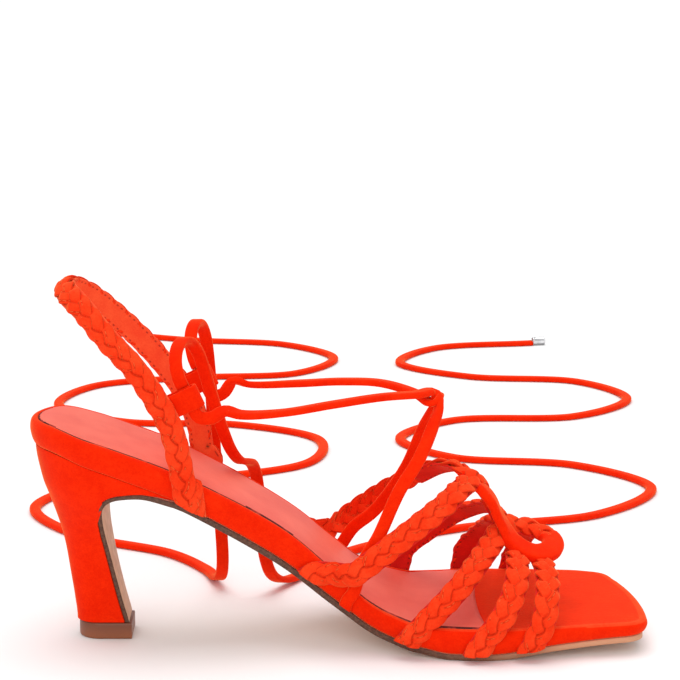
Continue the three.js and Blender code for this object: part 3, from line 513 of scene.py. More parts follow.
def skin(rings, closed=True, bands=None, runs=None, looped=False):
    # a grid whose rows are laid on the rings, rolled up where the rings are closed
    count = len(rings[0])
    columns = count if closed else count - 1
    rows = len(rings) if looped else len(rings) - 1
    bm = bmesh.new()
    bmesh.ops.create_grid(bm, x_segments=columns, y_segments=rows, size=1.0)
    strip = bm.loops.layers.uv.new("strip")
    places = {v: (round((v.co.x + 1) / 2 * columns), round((v.co.y + 1) / 2 * rows)) for v in bm.verts}
    for face in bm.faces:
        lowColumn = min(places[loop.vert][0] for loop in face.loops)
        band = bands[lowColumn] if bands else (lowColumn / columns, (lowColumn + 1) / columns)
        for loop in face.loops:
            column, row = places[loop.vert]
            run = runs[row] if runs else row
            loop[strip].uv = (run, band[column - lowColumn])
    for v, (column, row) in places.items():
        v.co = rings[row % len(rings)][column % count] * mm
    if closed or looped:
        bmesh.ops.remove_doubles(bm, verts=bm.verts, dist=1e-7)
    return bm


def closeEnds(bm):
    rim = [e for e in bm.edges if e.is_boundary]
    bmesh.ops.holes_fill(bm, edges=rim, sides=0)


def joined(parts):
    whole = bmesh.new()
    whole.loops.layers.uv.new("strip")
    for part in parts:
        carried = bpy.data.meshes.new("carried")
        part.to_mesh(carried)
        part.free()
        whole.from_mesh(carried)
        bpy.data.meshes.remove(carried)
    return whole


def pieceFrom(name, bm, finishes, stands, sharp=None):
    bmesh.ops.remove_doubles(bm, verts=bm.verts, dist=1e-7)
    bmesh.ops.recalc_face_normals(bm, faces=bm.faces)
    mesh = bpy.data.meshes.new(name)
    bm.to_mesh(mesh)
    bm.free()
    for face in mesh.polygons:
        face.use_smooth = True
    if sharp:
        mesh.set_sharp_from_angle(angle=math.radians(sharp))
    for finish in finishes:
        mesh.materials.append(finish)
    obj = bpy.data.objects.new(name, mesh)
    bpy.context.scene.collection.objects.link(obj)
    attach(obj, "root")
    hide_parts(*stands)
    print("made", name, len(mesh.polygons), "faces")
    return obj


def smoothWay(points):
    # centripetal spline through the points: a place and a run direction for every share of the way
    last = len(points) - 1

    def span(a, b):
        return max((b - a).length_squared ** 0.25, 1e-4)

    def at(share):
        place = min(max(share, 0.0), 1.0) * last
        i = min(int(place), last - 1)
        w = place - i
        p1, p2 = points[i], points[i + 1]
        p0 = points[i - 1] if i > 0 else p1 * 2 - p2
        p3 = points[i + 2] if i + 2 <= last else p2 * 2 - p1
        d0, d1, d2 = span(p0, p1), span(p1, p2), span(p2, p3)
        t1 = ((p1 - p0) / d0 - (p2 - p0) / (d0 + d1) + (p2 - p1) / d1) * d1
        t2 = ((p2 - p1) / d1 - (p3 - p1) / (d1 + d2) + (p3 - p2) / d2) * d1
        c2 = (p2 - p1) * 3 - t1 * 2 - t2
        c3 = (p1 - p2) * 2 + t1 + t2
        return p1 + t1 * w + c2 * w * w + c3 * w ** 3, (t1 + c2 * 2 * w + c3 * 3 * w * w).normalized()

    return at


def stationsAlong(points, faces, marks, step):
    # even stations with the directions across the strip and out of its face
    last = len(points) - 1
    at = smoothWay(points)
    dense = 24 * last
    lengths = [0.0]
    before = at(0.0)[0]
    for i in range(1, dense + 1):
        here = at(i / dense)[0]
        lengths.append(lengths[-1] + (here - before).length)
        before = here
    count = max(2, round(lengths[-1] / step))
    made = []
    k = 0
    for j in range(count + 1):
        goal = lengths[-1] * j / count
        while k < dense - 1 and lengths[k + 1] < goal:
            k += 1
        share = (k + (goal - lengths[k]) / (lengths[k + 1] - lengths[k])) / dense
        place = min(share * last, last - 1e-6)
        i = int(place)
        w = place - i
        point, run = at(share)
        face = lerp(faces[i], faces[i + 1], w)
        face = (face - run * face.dot(run)).normalized()
        made.append({
            "point": point,
            "run": run,
            "face": face,
            "across": run.cross(face),
            "mark": lerp(marks[i], marks[i + 1], w),
            "far": goal,
        })
    return made


def sweep(places, section, bands):
    rings = [[s["point"] + s["across"] * u + s["face"] * v for u, v in section(s)] for s in places]
    return skin(rings, bands=bands, runs=[s["far"] * mm for s in places])


def roundedStrip(width, thick, soft, corner=3, flat=3):
    # section of a flat strip with rounded corners, as (across, out) pairs
    half, high = width / 2 - soft, thick / 2 - soft
    ring = []
    for sideways, up, turn in ((1, 1, 0.0), (-1, 1, 90.0), (-1, -1, 180.0), (1, -1, 270.0)):
        for i in range(corner + 1):
            angle = math.radians(turn + 90.0 * i / corner)
            ring.append((sideways * half + soft * math.cos(angle), up * high + soft * math.sin(angle)))
        if sideways == up:
            for i in range(1, flat + 1):
                ring.append((up * lerp(half, -half, i / (flat + 1)), up * (high + soft)))
    return ring


tie = {
    "width": 5.0,
    "thick": 2.6,
    "soft": 0.95,
    "step": 1.6,
    "heldStep": 1.3,  # where it is held over the instep
    "onFloor": 1.5,  # height of the middle of a tie that lies on the floor
    "tipLength": 7.5,
    "tipWidth": 4.9,
}


def onFloor(*places):
    return [(x, y, tie["onFloor"]) for x, y in places]


medialRoute = [
    (32.45, -23.6, 104.45), (31.1, -23.7, 107.4), (29.8, -22.4, 112.9), (29.9, -18.8, 117.2),
    (31.2, -13.6, 119.4), (33.2, -8, 119.1), (35.3, -3.1, 116.3), (37.4, -0, 111.6), (40.2, 3.2, 101),
    (43.2, 7.4, 89), (46, 11.8, 78.2), (48.8, 16.4, 69.6), (51.8, 22.4, 64), (54.2, 29, 61.9),
    (56.2, 35.6, 59.2), (57.6, 40.2, 53.8), (58.6, 42.2, 46), (59.8, 43, 30), (61, 45.2, 17.4),
    (63.6, 50.6, 8.2), (68.2, 59, 3.4),
]
medialRoute += onFloor(
    (79, 78), (96, 107), (145, 143), (208, 165), (238, 212), (205, 254), (148, 268), (122, 306),
    (152, 346), (214, 354), (246, 394), (222, 436), (164, 448), (126, 482), (148, 524), (205, 538),
)
lateralRoute = [
    (35.5, 23.1, 101.75), (34.2, 23.2, 104.8), (33, 24.4, 110.1), (32.9, 27.8, 114.3), (33.8, 32.7, 116.7),
    (35, 38.1, 116.7), (36.2, 43, 114.3), (37.3, 46.4, 110.1), (38.1, 47.6, 104.8), (39.3, 48.4, 90),
    (40.6, 48, 66), (42, 47.6, 42), (43.2, 48.4, 25), (43.4, 51, 13.6), (42.4, 57.2, 6), (40, 65, 2.7),
]
lateralRoute += onFloor(
    (35, 80), (18, 104), (-24, 132), (-48, 178), (-22, 220), (34, 232), (76, 258), (80, 306), (38, 336),
    (-20, 342), (-58, 378), (-42, 426), (12, 446), (66, 456), (88, 496), (58, 534), (4, 546), (-44, 566),
)
# which way the outer face of a tie looks at the first points of its route; further on it looks up
medialLooks = [
    (0, -1, 0), (0, -1, 0), (0, -0.89, 0.45), (0, -0.6, 0.8), (0, -0.17, 0.98), (0, 0.3, 0.95),
    (0, 0.68, 0.73), (0.3, 0.94, 0.34), (0.3, 0.9, 0.34), (0.3, 0.9, 0.34), (0.3, 0.8, 0.5),
    (0.2, 0.6, 0.75), (0.1, 0.3, 0.95), (0, 0.1, 1), (0, 0.5, 0.85), (0, 0.85, 0.5), (0, 1, 0.1),
    (0, 1, 0), (0, 0.9, 0.4), (0, 0.6, 0.8), (0, 0.2, 1),
]
lateralLooks = [
    (0, -1, 0), (0, -1, 0), (0, -0.9, 0.44), (0, -0.63, 0.78), (0, -0.22, 0.97), (0, 0.22, 0.97),
    (0, 0.63, 0.78), (0, 0.9, 0.44), (0, 1, 0), (0, 1, 0), (0, 1, 0), (0, 1, 0), (0, 1, 0.1),
    (0, 0.9, 0.4), (0, 0.6, 0.8), (0, 0.3, 1),
]
tieStrip = roundedStrip(tie["width"], tie["thick"], tie["soft"])


def stripBands(ring, width):
    # places each side of a strip's section on its pattern: 0 to 1 across its width
    count = len(ring)
    return [(0.5 + ring[i][0] / width, 0.5 + ring[(i + 1) % count][0] / width) for i in range(count)]


def tieAlong(places):
    bm = sweep(places, lambda s: tieStrip, stripBands(tieStrip, tie["width"]))
    closeEnds(bm)
    return bm


def routeLength(places):
    return sum((b["point"] - a["point"]).length for a, b in zip(places, places[1:]))


def tipShape(route):
    # metal tube with rolled ends, spun round its own axis and laid past the end of its tie
    radius = tie["tipWidth"] / 2
    half = tie["tipLength"] / 2
    profile = [
        (0.0, -half + 0.5), (radius - 0.75, -half + 0.5), (radius - 0.7, -half + 0.1), (radius - 0.4, -half),
        (radius - 0.1, -half + 0.12), (radius, -half + 0.4), (radius - 0.12, -half + 0.75),
        (radius - 0.2, -half + 1.1),
    ]
    profile += [(r, -z) for r, z in reversed(profile)]
    bm = bmesh.new()
    bm.loops.layers.uv.new("strip")
    line = [bm.verts.new((r * mm, 0.0, z * mm)) for r, z in profile]
    edges = [bm.edges.new(pair) for pair in zip(line, line[1:])]
    bmesh.ops.spin(
        bm, geom=line + edges, cent=(0, 0, 0), axis=(0, 0, 1), angle=math.tau, steps=32,
        use_merge=True, use_duplicate=False,
    )
    bmesh.ops.remove_doubles(bm, verts=bm.verts, dist=1e-7)
    end, run = smoothWay([Vector(p) for p in route])(1.0)
    run.z = 0.0
    run.normalize()
    centre = end + run * (sole["gap"] + half)
    centre.z = radius + 0.1
    turn = Vector((0, 0, 1)).rotation_difference(run).to_matrix().to_4x4()
    bmesh.ops.transform(bm, matrix=Matrix.Translation(centre * mm) @ turn, verts=bm.verts)
    return bm


def makeTie(side, route, looks):
    points = [Vector(p) for p in route]
    faces = [Vector(f) for f in looks] + [Vector((0, 0, 1))] * (len(points) - len(looks))
    places = stationsAlong(points, faces, [0.0] * len(points), tie["step"])
    cord = pieceFrom("tie" + side, tieAlong(places), [suedeTie], ["tie_" + side.lower()])
    tip = pieceFrom("tip" + side, tipShape(route), [polishedMetal], ["tip_" + side.lower()], sharp=50)
    round(routeLength(places) * mm, 3)
    [tuple(s["point"] * mm) for s in places]
    print("tie", side, "is", round(routeLength(places)), "mm long")


makeTie("Medial", medialRoute, medialLooks)
makeTie("Lateral", lateralRoute, lateralLooks)

wrap = {
    "rim": 3.0,  # suede left round the lining
    "liningLength": 178.0,
    "seamBow": 3.5,
    "groove": 0.75,
    "puff": 0.35,  # lining stands this far over the suede rim
    "crease": 0.3,
    "across": 26,
}
stationCount = len(stations)
seamPlace = wrap["liningLength"] - sole["setback"]
seamStation = max(i for i, s in enumerate(stations) if s[0] < seamPlace - 0.4)


def bowAt(x):
    away = abs(seamPlace - x) / (0.2 * wrap["liningLength"])
    return wrap["seamBow"] * max(0.0, 1 - away) ** 2


def crossRows(loop, columns, last):
    # rungs from the inner to the outer side of a loop, bowed back about the seam
    count = len(loop)
    rows = []
    for i in range(last + 1):
        a, b = loop[i], loop[count - 1 - i]
        row = []
        for t in columns:
            p = lerp(a, b, t)
            row.append(Vector((p.x - bowAt(a.x) * (1 - (2 * t - 1) ** 2), p.y)))
        rows.append(row)
    return rows


def makeMidsole():
    # a wrapped board: under edge, side wall, turned top edge, then a groove where the lining is let in
    levels = [
        (3.2, 1.0), (2.0, 1.0), (1.3, 0.93), (0.8, 0.82), (0.45, 0.7), (0.2, 0.58), (0.05, 0.47), (0.0, 0.38),
        (0.05, 0.28), (0.2, 0.185), (0.5, 0.1), (0.95, 0.045), (1.6, 0.012), (2.3, 0.0), (2.8, 0.0),
    ]
    rings = []
    for inset, down in levels:
        ring = []
        for p in insetLoop(inset):
            high, low = footbed(p.x), midsoleUnder(p.x)
            ring.append(Vector((p.x, p.y, high - (high - low) * down)))
        rings.append(ring)
    count = len(rings[0])

    def sunk(index):
        station = min(index, count - 1 - index)
        return wrap["groove"] * (1 - ease((station - seamStation + 0.5) / 1.5))

    for inset, share in ((wrap["rim"] + 0.05, 0.45), (wrap["rim"] + 0.3, 1.0)):
        ring = [Vector((p.x, p.y, footbed(p.x) - sunk(i) * share)) for i, p in enumerate(insetLoop(inset))]
        rings.append(ring)
    wall = skin(rings)
    columns = [i / wrap["across"] for i in range(wrap["across"] + 1)]

    def sheet(loop, height):
        rows = crossRows(loop, columns, stationCount - 1)
        return [[Vector((p.x, p.y, height(p.x, i))) for p in row] for i, row in enumerate(rows)]

    top = sheet(insetLoop(wrap["rim"] + 0.3), lambda x, i: footbed(x) - sunk(i))
    under = sheet(insetLoop(levels[0][0]), lambda x, i: midsoleUnder(x))
    whole = joined([wall, skin(top, closed=False), skin(under, closed=False)])
    bmesh.ops.remove_doubles(whole, verts=whole.verts, dist=2e-6)
    for face in whole.faces:  # the foot's side of the toe, facing up, takes the lighter suede as painted sheen
        face.material_index = 1 if face.normal.z > 0.8 and face.calc_center_median().x > 0.1 else 0
    pieceFrom("midsole", whole, [suedeWrap, suedeToeSheen], ["midsole"])


def makeLining():
    # leather sheet with a rolled edge, a little creased where the foot bends
    loop = insetLoop(wrap["rim"] + 0.25)
    fine = [0.0, 0.006, 0.016, 0.03, 0.055]
    middle = [lerp(0.09, 0.91, i / 18) for i in range(19)]
    columns = fine + middle + [1 - t for t in reversed(fine)]
    rows = crossRows(loop, columns, seamStation)
    border = [Vector(p) for i, p in enumerate(loop) if min(i, len(loop) - 1 - i) <= seamStation]
    front = [Vector(p) for p in rows[-1]]
    ringed = []
    for row in rows:
        ring = []
        for p in row:
            near = min((p - q).length for q in border + front)
            roll = ease(min(1.0, near / 1.5) ** 0.7)
            lift = lerp(-0.5, wrap["puff"], roll)
            bend = ease((p.x - 84) / 18) * (1 - ease((p.x - 124) / 16)) * ease((p.y - 2) / 18)
            crease = noise.noise(Vector((p.x * 0.16, p.y * 0.035, 3.0))) - 0.4
            lift += wrap["crease"] * bend * crease * roll
            lift += 0.12 * noise.noise(Vector((p.x * 0.05, p.y * 0.06, 9.0))) * roll
            ring.append(Vector((p.x, p.y, footbed(p.x) + lift)))
        ringed.append(ring)
    bm = skin(ringed, closed=False)
    bmesh.ops.recalc_face_normals(bm, faces=bm.faces)
    if sum(f.normal.z for f in bm.faces) < 0:
        bmesh.ops.reverse_faces(bm, faces=bm.faces)
    sides = [(a.xy, b.xy) for a, b in zip(border, border[1:] + border[:1]) if (b - a).length < 6]

    def gapTo(p, a, b):
        share = min(1.0, max(0.0, (p - a).dot(b - a) / (b - a).length_squared))
        return (p - a.lerp(b, share)).length

    # the faces along the lining's border take the dark edge finish, partly painted shade of the seam against
    # the rim
    for face in bm.faces:
        centre = face.calc_center_median().xy / mm
        dark = lerp(0.6, 0.95, ease((centre.x + 10) / 30))
        if min(gapTo(centre, a, b) for a, b in sides) < dark:
            face.material_index = 1
    bmesh.ops.solidify(bm, geom=bm.faces, thickness=0.25 * mm)
    pieceFrom("sockLining", bm, [coralLining, liningEdgeSeamShade], ["insole"])


makeMidsole()
makeLining()

heel = {
    "tipLength": 21.0,
    "tipWidth": 17.0,
    "tipHeight": 6.5,
    "levels": 44,
    "cover": 1.6,  # sole sheet where it runs down the front of the heel
    "soleInset": 1.8,
    "fold": 0.5,  # turned suede edge down each side of the front
    "soleSteps": 72,
}
# up the heel: how far back, in setbacks and tip lengths, and half width, in seat widths and tip widths
heelRows = [
    (0.0, 0.0, 0.538, 0.0, 0.49),
    (0.13, 0.0, 0.58, 0.0, 0.506),
    (0.298, 0.17, 0.43, 0.03, 0.46),
    (0.438, 0.3, 0.324, 0.09, 0.376),
    (0.55, 0.42, 0.245, 0.16, 0.324),
    (0.649, 0.54, 0.18, 0.25, 0.265),
    (0.747, 0.67, 0.114, 0.36, 0.16),
    (0.86, 0.815, 0.048, 0.43, 0.07),
    (1.06, 0.93, 0.0, 0.463, 0.0),
]
# down the front of the heel: how far ahead, in setbacks and tip lengths, and share of the drop
breastRows = [
    (1.036, 0.0, 0.0), (0.786, 0.0, 0.025), (0.571, 0.0, 0.048), (0.357, 0.0, 0.089), (0.179, 0.0, 0.129),
    (0.054, 0.0, 0.175), (-0.025, 0.0, 0.235), (-0.046, 0.0, 0.32), (-0.04, 0.015, 0.42), (-0.02, 0.05, 0.53),
    (0.0, 0.12, 0.68), (0.0, 0.25, 0.861), (0.0, 0.362, 1.0),
]
heelFoot = heel["tipHeight"] + sole["gap"]
heelTop = seatUnder(-0.3 * sole["setback"])
heelBack = slopeCurve([(r[0], r[1] * sole["setback"] + r[2] * heel["tipLength"]) for r in heelRows])
heelHalf = slopeCurve([(r[0], r[3] * sole["seatWidth"] + r[4] * heel["tipWidth"]) for r in heelRows])


def breastPoint(row):
    x = row[0] * sole["setback"] + row[1] * heel["tipLength"]
    return Vector((x, 0.0, heelFoot + (seatUnder(x) - heelFoot) * (1 - row[2])))


breastWay = smoothWay([breastPoint(r) for r in breastRows])
breastLine = [breastWay(i / 240)[0] for i in range(241)]
breastFalls = [1 - (p.z - heelFoot) / (seatUnder(p.x) - heelFoot) for p in breastLine]


def breastAt(fall):
    i = 0
    while i < 239 and breastFalls[i + 1] < fall:
        i += 1
    t = (fall - breastFalls[i]) / max(1e-6, breastFalls[i + 1] - breastFalls[i])
    return lerp(breastLine[i].x, breastLine[i + 1].x, min(1.0, max(0.0, t)))


def backedRing(back, half, front, sides=9, rounds=26):
    # plan of a section with a straight front, straight sides and a round back
    depth = half * 1.02
    plan = []
    for i in range(sides):
        plan.append((lerp(front, back + depth, i / sides), -half))
    for i in range(rounds + 1):
        turn = -math.pi / 2 - math.pi * i / rounds
        plan.append((back + depth + depth * math.cos(turn), half * math.sin(turn)))
    for i in range(1, sides + 1):
        plan.append((lerp(back + depth, front, i / sides), half))
    return plan


def makeHeel():
    rings = []
    for k in range(heel["levels"] + 1):
        level = k / heel["levels"]
        front = breastAt(1 - level)
        ring = []

        def sectionAt(rise):
            return backedRing(-heelBack(rise), heelHalf(rise), front)

        plan = sectionAt(level)
        for i in range(len(plan)):
            x, y = plan[i]
            for _ in range(3):
                z = heelFoot + level * (seatUnder(x) - heelFoot)
                x, y = sectionAt((z - heelFoot) / (heelTop - heelFoot))[i]
            ring.append(Vector((x, y, heelFoot + level * (seatUnder(x) - heelFoot))))
        rings.append(ring)
    bm = skin(rings)
    closeEnds(bm)
    corners = [e for e in bm.edges if len(e.link_faces) == 2 and e.calc_face_angle(0) > 1.0]
    bmesh.ops.bevel(
        bm, geom=corners, offset=heel["fold"] * mm, offset_type="OFFSET", segments=2, profile=0.5,
        affect="EDGES", material=-1, clamp_overlap=True,
    )
    pieceFrom("heel", bm, [suedeWrap], ["heel"], sharp=55)


def makeHeelTip():
    half, front, high = heel["tipWidth"] / 2, heel["tipLength"] / 2, heel["tipHeight"]
    levels = [
        (0.0, 0.9), (0.06, 0.5), (0.25, 0.2), (0.6, 0.03), (1.2, 0.0), (3.2, 0.0), (5.6, 0.0), (6.2, 0.08),
        (high, 0.35),
    ]
    rings = []
    for z, inset in levels:
        plan = backedRing(-front + inset, half - inset, front - inset, sides=7, rounds=24)
        rings.append([Vector((x, y, z)) for x, y in plan])
    bm = skin(rings)
    closeEnds(bm)
    pieceFrom("heelTip", bm, [tipBrown], ["heel_tip"], sharp=50)


def makeOutsole():
    # tan sheet from the toe back under the shank and down the front of the heel, with softened edges
    loop = insetLoop(heel["soleInset"])
    count = len(loop)
    junction = breastRows[0][0] * sole["setback"]
    rings = []
    soft = 0.35

    def ringOf(a, b, c, d):
        # a and b on the upper face, c and d under them; corners softened
        thick = ((c - b).length + (d - a).length) / 2
        width = max(0.01, (b - a).length)
        w, h = min(0.45, soft / width), min(0.45, soft / thick)

        def at(s, t):
            return lerp(lerp(a, b, s), lerp(d, c, s), t)

        return [
            at(w, 0), at(0.5, 0), at(1 - w, 0), at(1, h), at(1, 0.5), at(1, 1 - h),
            at(1 - w, 1), at(0.5, 1), at(w, 1), at(0, 1 - h), at(0, 0.5), at(0, h),
        ]

    for i in reversed(range(stationCount)):
        if stations[i][0] <= junction + 1.5:
            break
        near, far = loop[i], loop[count - 1 - i]
        rings.append(ringOf(
            Vector((near.x, near.y, outsoleTop(near.x))), Vector((far.x, far.y, outsoleTop(far.x))),
            Vector((far.x, far.y * 0.99, treadAt(far.x))), Vector((near.x, near.y * 0.99, treadAt(near.x))),
        ))
    steps = heel["soleSteps"]
    for k in range(steps + 1):
        share = k / steps
        here, run = breastWay(share)
        outward = Vector((-run.z, 0.0, run.x))
        if k == steps:  # the foot of the sheet is cut level
            outward = Vector((4.0, 0.0, 1.0)).normalized()
        thick = lerp(sole["outsole"], heel["cover"], min(1.0, share * (len(breastRows) - 1) / 3))
        inside = here + outward * sole["gap"]
        outside = inside + outward * thick
        if k == steps:
            outside.z = inside.z
        stem = heelHalf((here.z - heelFoot) / (heelTop - heelFoot))
        halves = []
        for sign in (-1, 1):
            shank = edgeAt(here.x, sign) - heel["soleInset"]
            free = edgeAt(max(here.x, 0.0), -1) - heel["soleInset"]
            ready = ease(share * (len(breastRows) - 1) / 1.6)
            halves.append(lerp(shank, min(free, shank, stem), ready))
        near, far = -halves[0], halves[1]
        rings.append(ringOf(
            Vector((inside.x, near, inside.z)), Vector((inside.x, far, inside.z)),
            Vector((outside.x, far * 0.985, outside.z)), Vector((outside.x, near * 0.985, outside.z)),
        ))
    face, side = (0.0, 0.0), (1.0, 1.0)
    bands = [face, face, side, side, side, side, face, face, side, side, side, side]
    bm = skin(rings, bands=bands)
    closeEnds(bm)
    pieceFrom("outsole", bm, [tanSole], ["outsole"], sharp=50)


makeHeel()
makeHeelTip()
makeOutsole()

plait = {
    "width": 10.5,
    "thick": 3.6,
    "pitch": 7.3,  # one scallop of the edge to the next
    "sway": 2.85,  # how far a cord swings to each side
    "lift": 0.9,  # how far it goes over and under
    "cordWidth": 4.6,
    "cordThick": 1.55,
    "step": 0.95,
    "backStep": 1.6,
    "backedRows": 9,  # rows of the ridge's outer half that the lining strip still follows
    "backWidth": 9.2,
    "backTop": -0.9,
    "smoothTop": 1.78,  # where a strap is plain the lining strip wraps the plait up to here
    "smoothWidth": 8.6,
}
# middle of a strap: along the sole, across as a share of its half width, up as a share of the instep,
# then the way its outer face looks towards the toe, the outer side and up
strapRows = {
    "ridgeNear": [
        (0.5266, -1.239, 0.152, 0, -1, 0.1), (0.5605, -1.084, 0.366, 0, -1, 0.2),
        (0.5982, -0.907, 0.56, -0.1, -1, 0.3), (0.6349, -0.717, 0.709, -0.1, -0.95, 0.4),
        (0.6725, -0.533, 0.834, -0.1, -0.85, 0.55), (0.697, -0.33, 0.91, -0.05, -0.7, 0.7),
        (0.7147, -0.122, 0.931, 0.15, -0.5, 0.85), (0.7298, 0.021, 0.931, 0.5, -0.35, 0.8),
        (0.7386, 0.074, 0.858, 0.77, -0.3, 0.5), (0.7486, 0.089, 0.791, 0.8, -0.3, 0.5),
        (0.7576, 0.1, 0.698, 0.75, -0.3, 0.55), (0.7729, 0.12, 0.609, 0.55, -0.35, 0.75),
    ],
    "loop": [
        (0.792, 0.171, 0.554, 0.4, -0.4, 0.85), (0.807, 0.228, 0.531, 0.3, -0.4, 0.87),
        (0.827, 0.238, 0.506, 0.3, -0.4, 0.87), (0.848, 0.188, 0.465, 0.3, -0.4, 0.87),
        (0.8565, 0.055, 0.428, 0.3, -0.4, 0.87), (0.847, -0.123, 0.406, 0.3, -0.4, 0.87),
        (0.827, -0.229, 0.409, 0.3, -0.4, 0.87), (0.805, -0.241, 0.444, 0.35, -0.4, 0.86),
        (0.788, -0.211, 0.498, 0.5, -0.4, 0.8),
    ],
    "ridgeFar": [
        (0.7802, -0.159, 0.546, 0.75, -0.25, 0.6), (0.7712, -0.137, 0.613, 0.86, -0.15, 0.45),
        (0.7612, -0.136, 0.694, 0.88, -0.1, 0.42), (0.7532, -0.136, 0.78, 0.88, -0.1, 0.42),
        (0.7412, -0.095, 0.845, 0.75, -0.2, 0.5), (0.7233, 0.017, 0.898, 0.4, 0, 0.9),
        (0.7026, 0.159, 0.974, 0, 0.5, 0.86), (0.6701, 0.355, 0.952, -0.1, 0.78, 0.6),
        (0.6303, 0.566, 0.829, -0.1, 0.88, 0.42), (0.5949, 0.763, 0.68, -0.05, 0.95, 0.3),
        (0.5544, 1.025, 0.451, 0, 1, 0.2), (0.513, 1.23, 0.168, 0, 1, 0.1),
    ],
    "secondNear": [
        (0.6503, -0.978, 0.073, 0, -1, 0.1), (0.6677, -0.931, 0.154, 0, -1, 0.25),
        (0.7021, -0.793, 0.311, 0, -0.85, 0.5), (0.7265, -0.595, 0.421, 0, -0.7, 0.7),
        (0.7503, -0.326, 0.505, 0.15, -0.55, 0.8), (0.765, -0.123, 0.552, 0.35, -0.45, 0.8),
        (0.778, 0.021, 0.576, 0.4, -0.4, 0.8),
    ],
    "thirdNear": [
        (0.7557, -1.042, 0.05, 0, -1, 0.1), (0.7659, -1.011, 0.108, 0.1, -1, 0.3),
        (0.7825, -0.884, 0.243, 0.15, -0.85, 0.5), (0.7923, -0.667, 0.359, 0.2, -0.65, 0.75),
        (0.7943, -0.417, 0.412, 0.25, -0.5, 0.85), (0.7951, -0.195, 0.414, 0.3, -0.4, 0.87),
    ],
    "fourthNear": [
        (0.831, -1.052, 0.076, 0, -1, 0.1), (0.8341, -1.038, 0.133, 0.1, -1, 0.25),
        (0.8373, -0.927, 0.24, 0.15, -0.85, 0.5), (0.8404, -0.698, 0.317, 0.2, -0.65, 0.75),
        (0.8387, -0.435, 0.354, 0.25, -0.5, 0.85), (0.8346, -0.245, 0.375, 0.3, -0.4, 0.87),
    ],
    "secondFar": [
        (0.614, 1.024, 0.154, 0, 1, 0.1), (0.6512, 0.865, 0.335, 0, 0.95, 0.3),
        (0.694, 0.65, 0.506, 0, 0.8, 0.55), (0.731, 0.425, 0.619, 0.1, 0.6, 0.75),
        (0.754, 0.202, 0.672, 0.5, 0.3, 0.7), (0.765, 0.068, 0.65, 0.7, 0, 0.6),
    ],
    "thirdFar": [
        (0.7213, 0.98, 0.163, 0, 1, 0.15), (0.7373, 0.893, 0.28, 0, 0.9, 0.4),
        (0.7573, 0.681, 0.433, 0.05, 0.7, 0.7), (0.766, 0.426, 0.517, 0.15, 0.3, 0.9),
        (0.783, 0.203, 0.531, 0.3, 0, 0.95),
    ],
    "fourthFar": [
        (0.8024, 0.986, 0.1, 0, 1, 0.15), (0.8084, 0.859, 0.22, 0, 0.85, 0.5),
        (0.8156, 0.678, 0.346, 0.1, 0.6, 0.8), (0.8204, 0.453, 0.431, 0.2, 0.25, 0.95),
        (0.823, 0.27, 0.461, 0.3, -0.1, 0.95),
    ],
    "sling": [
        (0.262, -1.119, -0.193, 0, -1, 0), (0.258, -1.114, -0.095, 0, -1, 0),
        (0.25, -1.104, 0.105, 0, -1, 0), (0.237, -1.089, 0.329, 0, -1, 0),
        (0.2166, -1.079, 0.471, 0, -1, 0), (0.18, -1.057, 0.655, -0.1, -1, 0.03),
        (0.1339, -0.981, 0.797, -0.25, -0.9, 0.15), (0.0955, -0.755, 0.924, -0.45, -0.7, 0.4),
        (0.0683, -0.415, 0.967, -0.62, -0.35, 0.66), (0.058, 0, 0.97, -0.66, 0, 0.75),
        (0.065, 0.34, 0.956, -0.62, 0.32, 0.66), (0.094, 0.679, 0.895, -0.45, 0.7, 0.4),
        (0.14, 0.943, 0.758, -0.25, 0.9, 0.15), (0.18, 1.019, 0.637, -0.1, 1, 0.05),
        (0.218, 1.059, 0.501, 0, 1, 0), (0.2515, 1.075, 0.341, 0, 1, 0), (0.2695, 1.073, 0.143, 0, 1, 0),
        (0.2755, 1.08, -0.013, 0, 1, 0),
    ],
    "tieNear": [
        (0.541, -0.98, 0.26, 0, -1, 0.05), (0.566, -0.83, 0.51, 0, -1, 0.1),
        (0.599, -0.68, 0.885, 0, -0.95, 0.1), (0.632, -0.481, 1.139, -0.1, -0.85, 0.2),
        (0.654, -0.244, 1.339, -0.4, -0.6, 0.3), (0.665, -0.074, 1.477, -0.8, -0.1, 0.4),
    ],
    "tieNearRun": [
        (0.656, 0.014, 1.554, -0.1, -0.3, 1), (0.627, -0.183, 1.559, 0, 0, 1),
        (0.572, -0.46, 1.494, 0, 0, 1), (0.494, -0.894, 1.214, 0, 0, 1), (0.414, -1.087, 0.873, 0, 0, 1),
        (0.348, -1.034, 0.678, 0, -0.2, 1),
    ],
    "tieFar": [
        (0.5271, 0.92, 0.189, 0, 1, 0), (0.5629, 0.74, 0.442, 0, 1, 0),
        (0.614, 0.454, 0.889, 0, 0.95, 0.1), (0.6412, 0.3, 1.221, -0.1, 0.8, 0.3),
        (0.657, 0.135, 1.406, -0.4, 0.5, 0.4), (0.666, 0.009, 1.519, -0.8, 0.1, 0.4),
    ],
    "tieFarRun": [
        (0.655, -0.069, 1.486, -0.1, 0.3, 1), (0.631, 0.094, 1.521, 0, 0, 1),
        (0.574, 0.332, 1.49, 0, 0, 1), (0.506, 0.591, 1.268, 0, 0, 1), (0.438, 0.807, 0.972, 0, 0, 1),
        (0.354, 0.906, 0.709, 0, 0.2, 1),
    ],
}
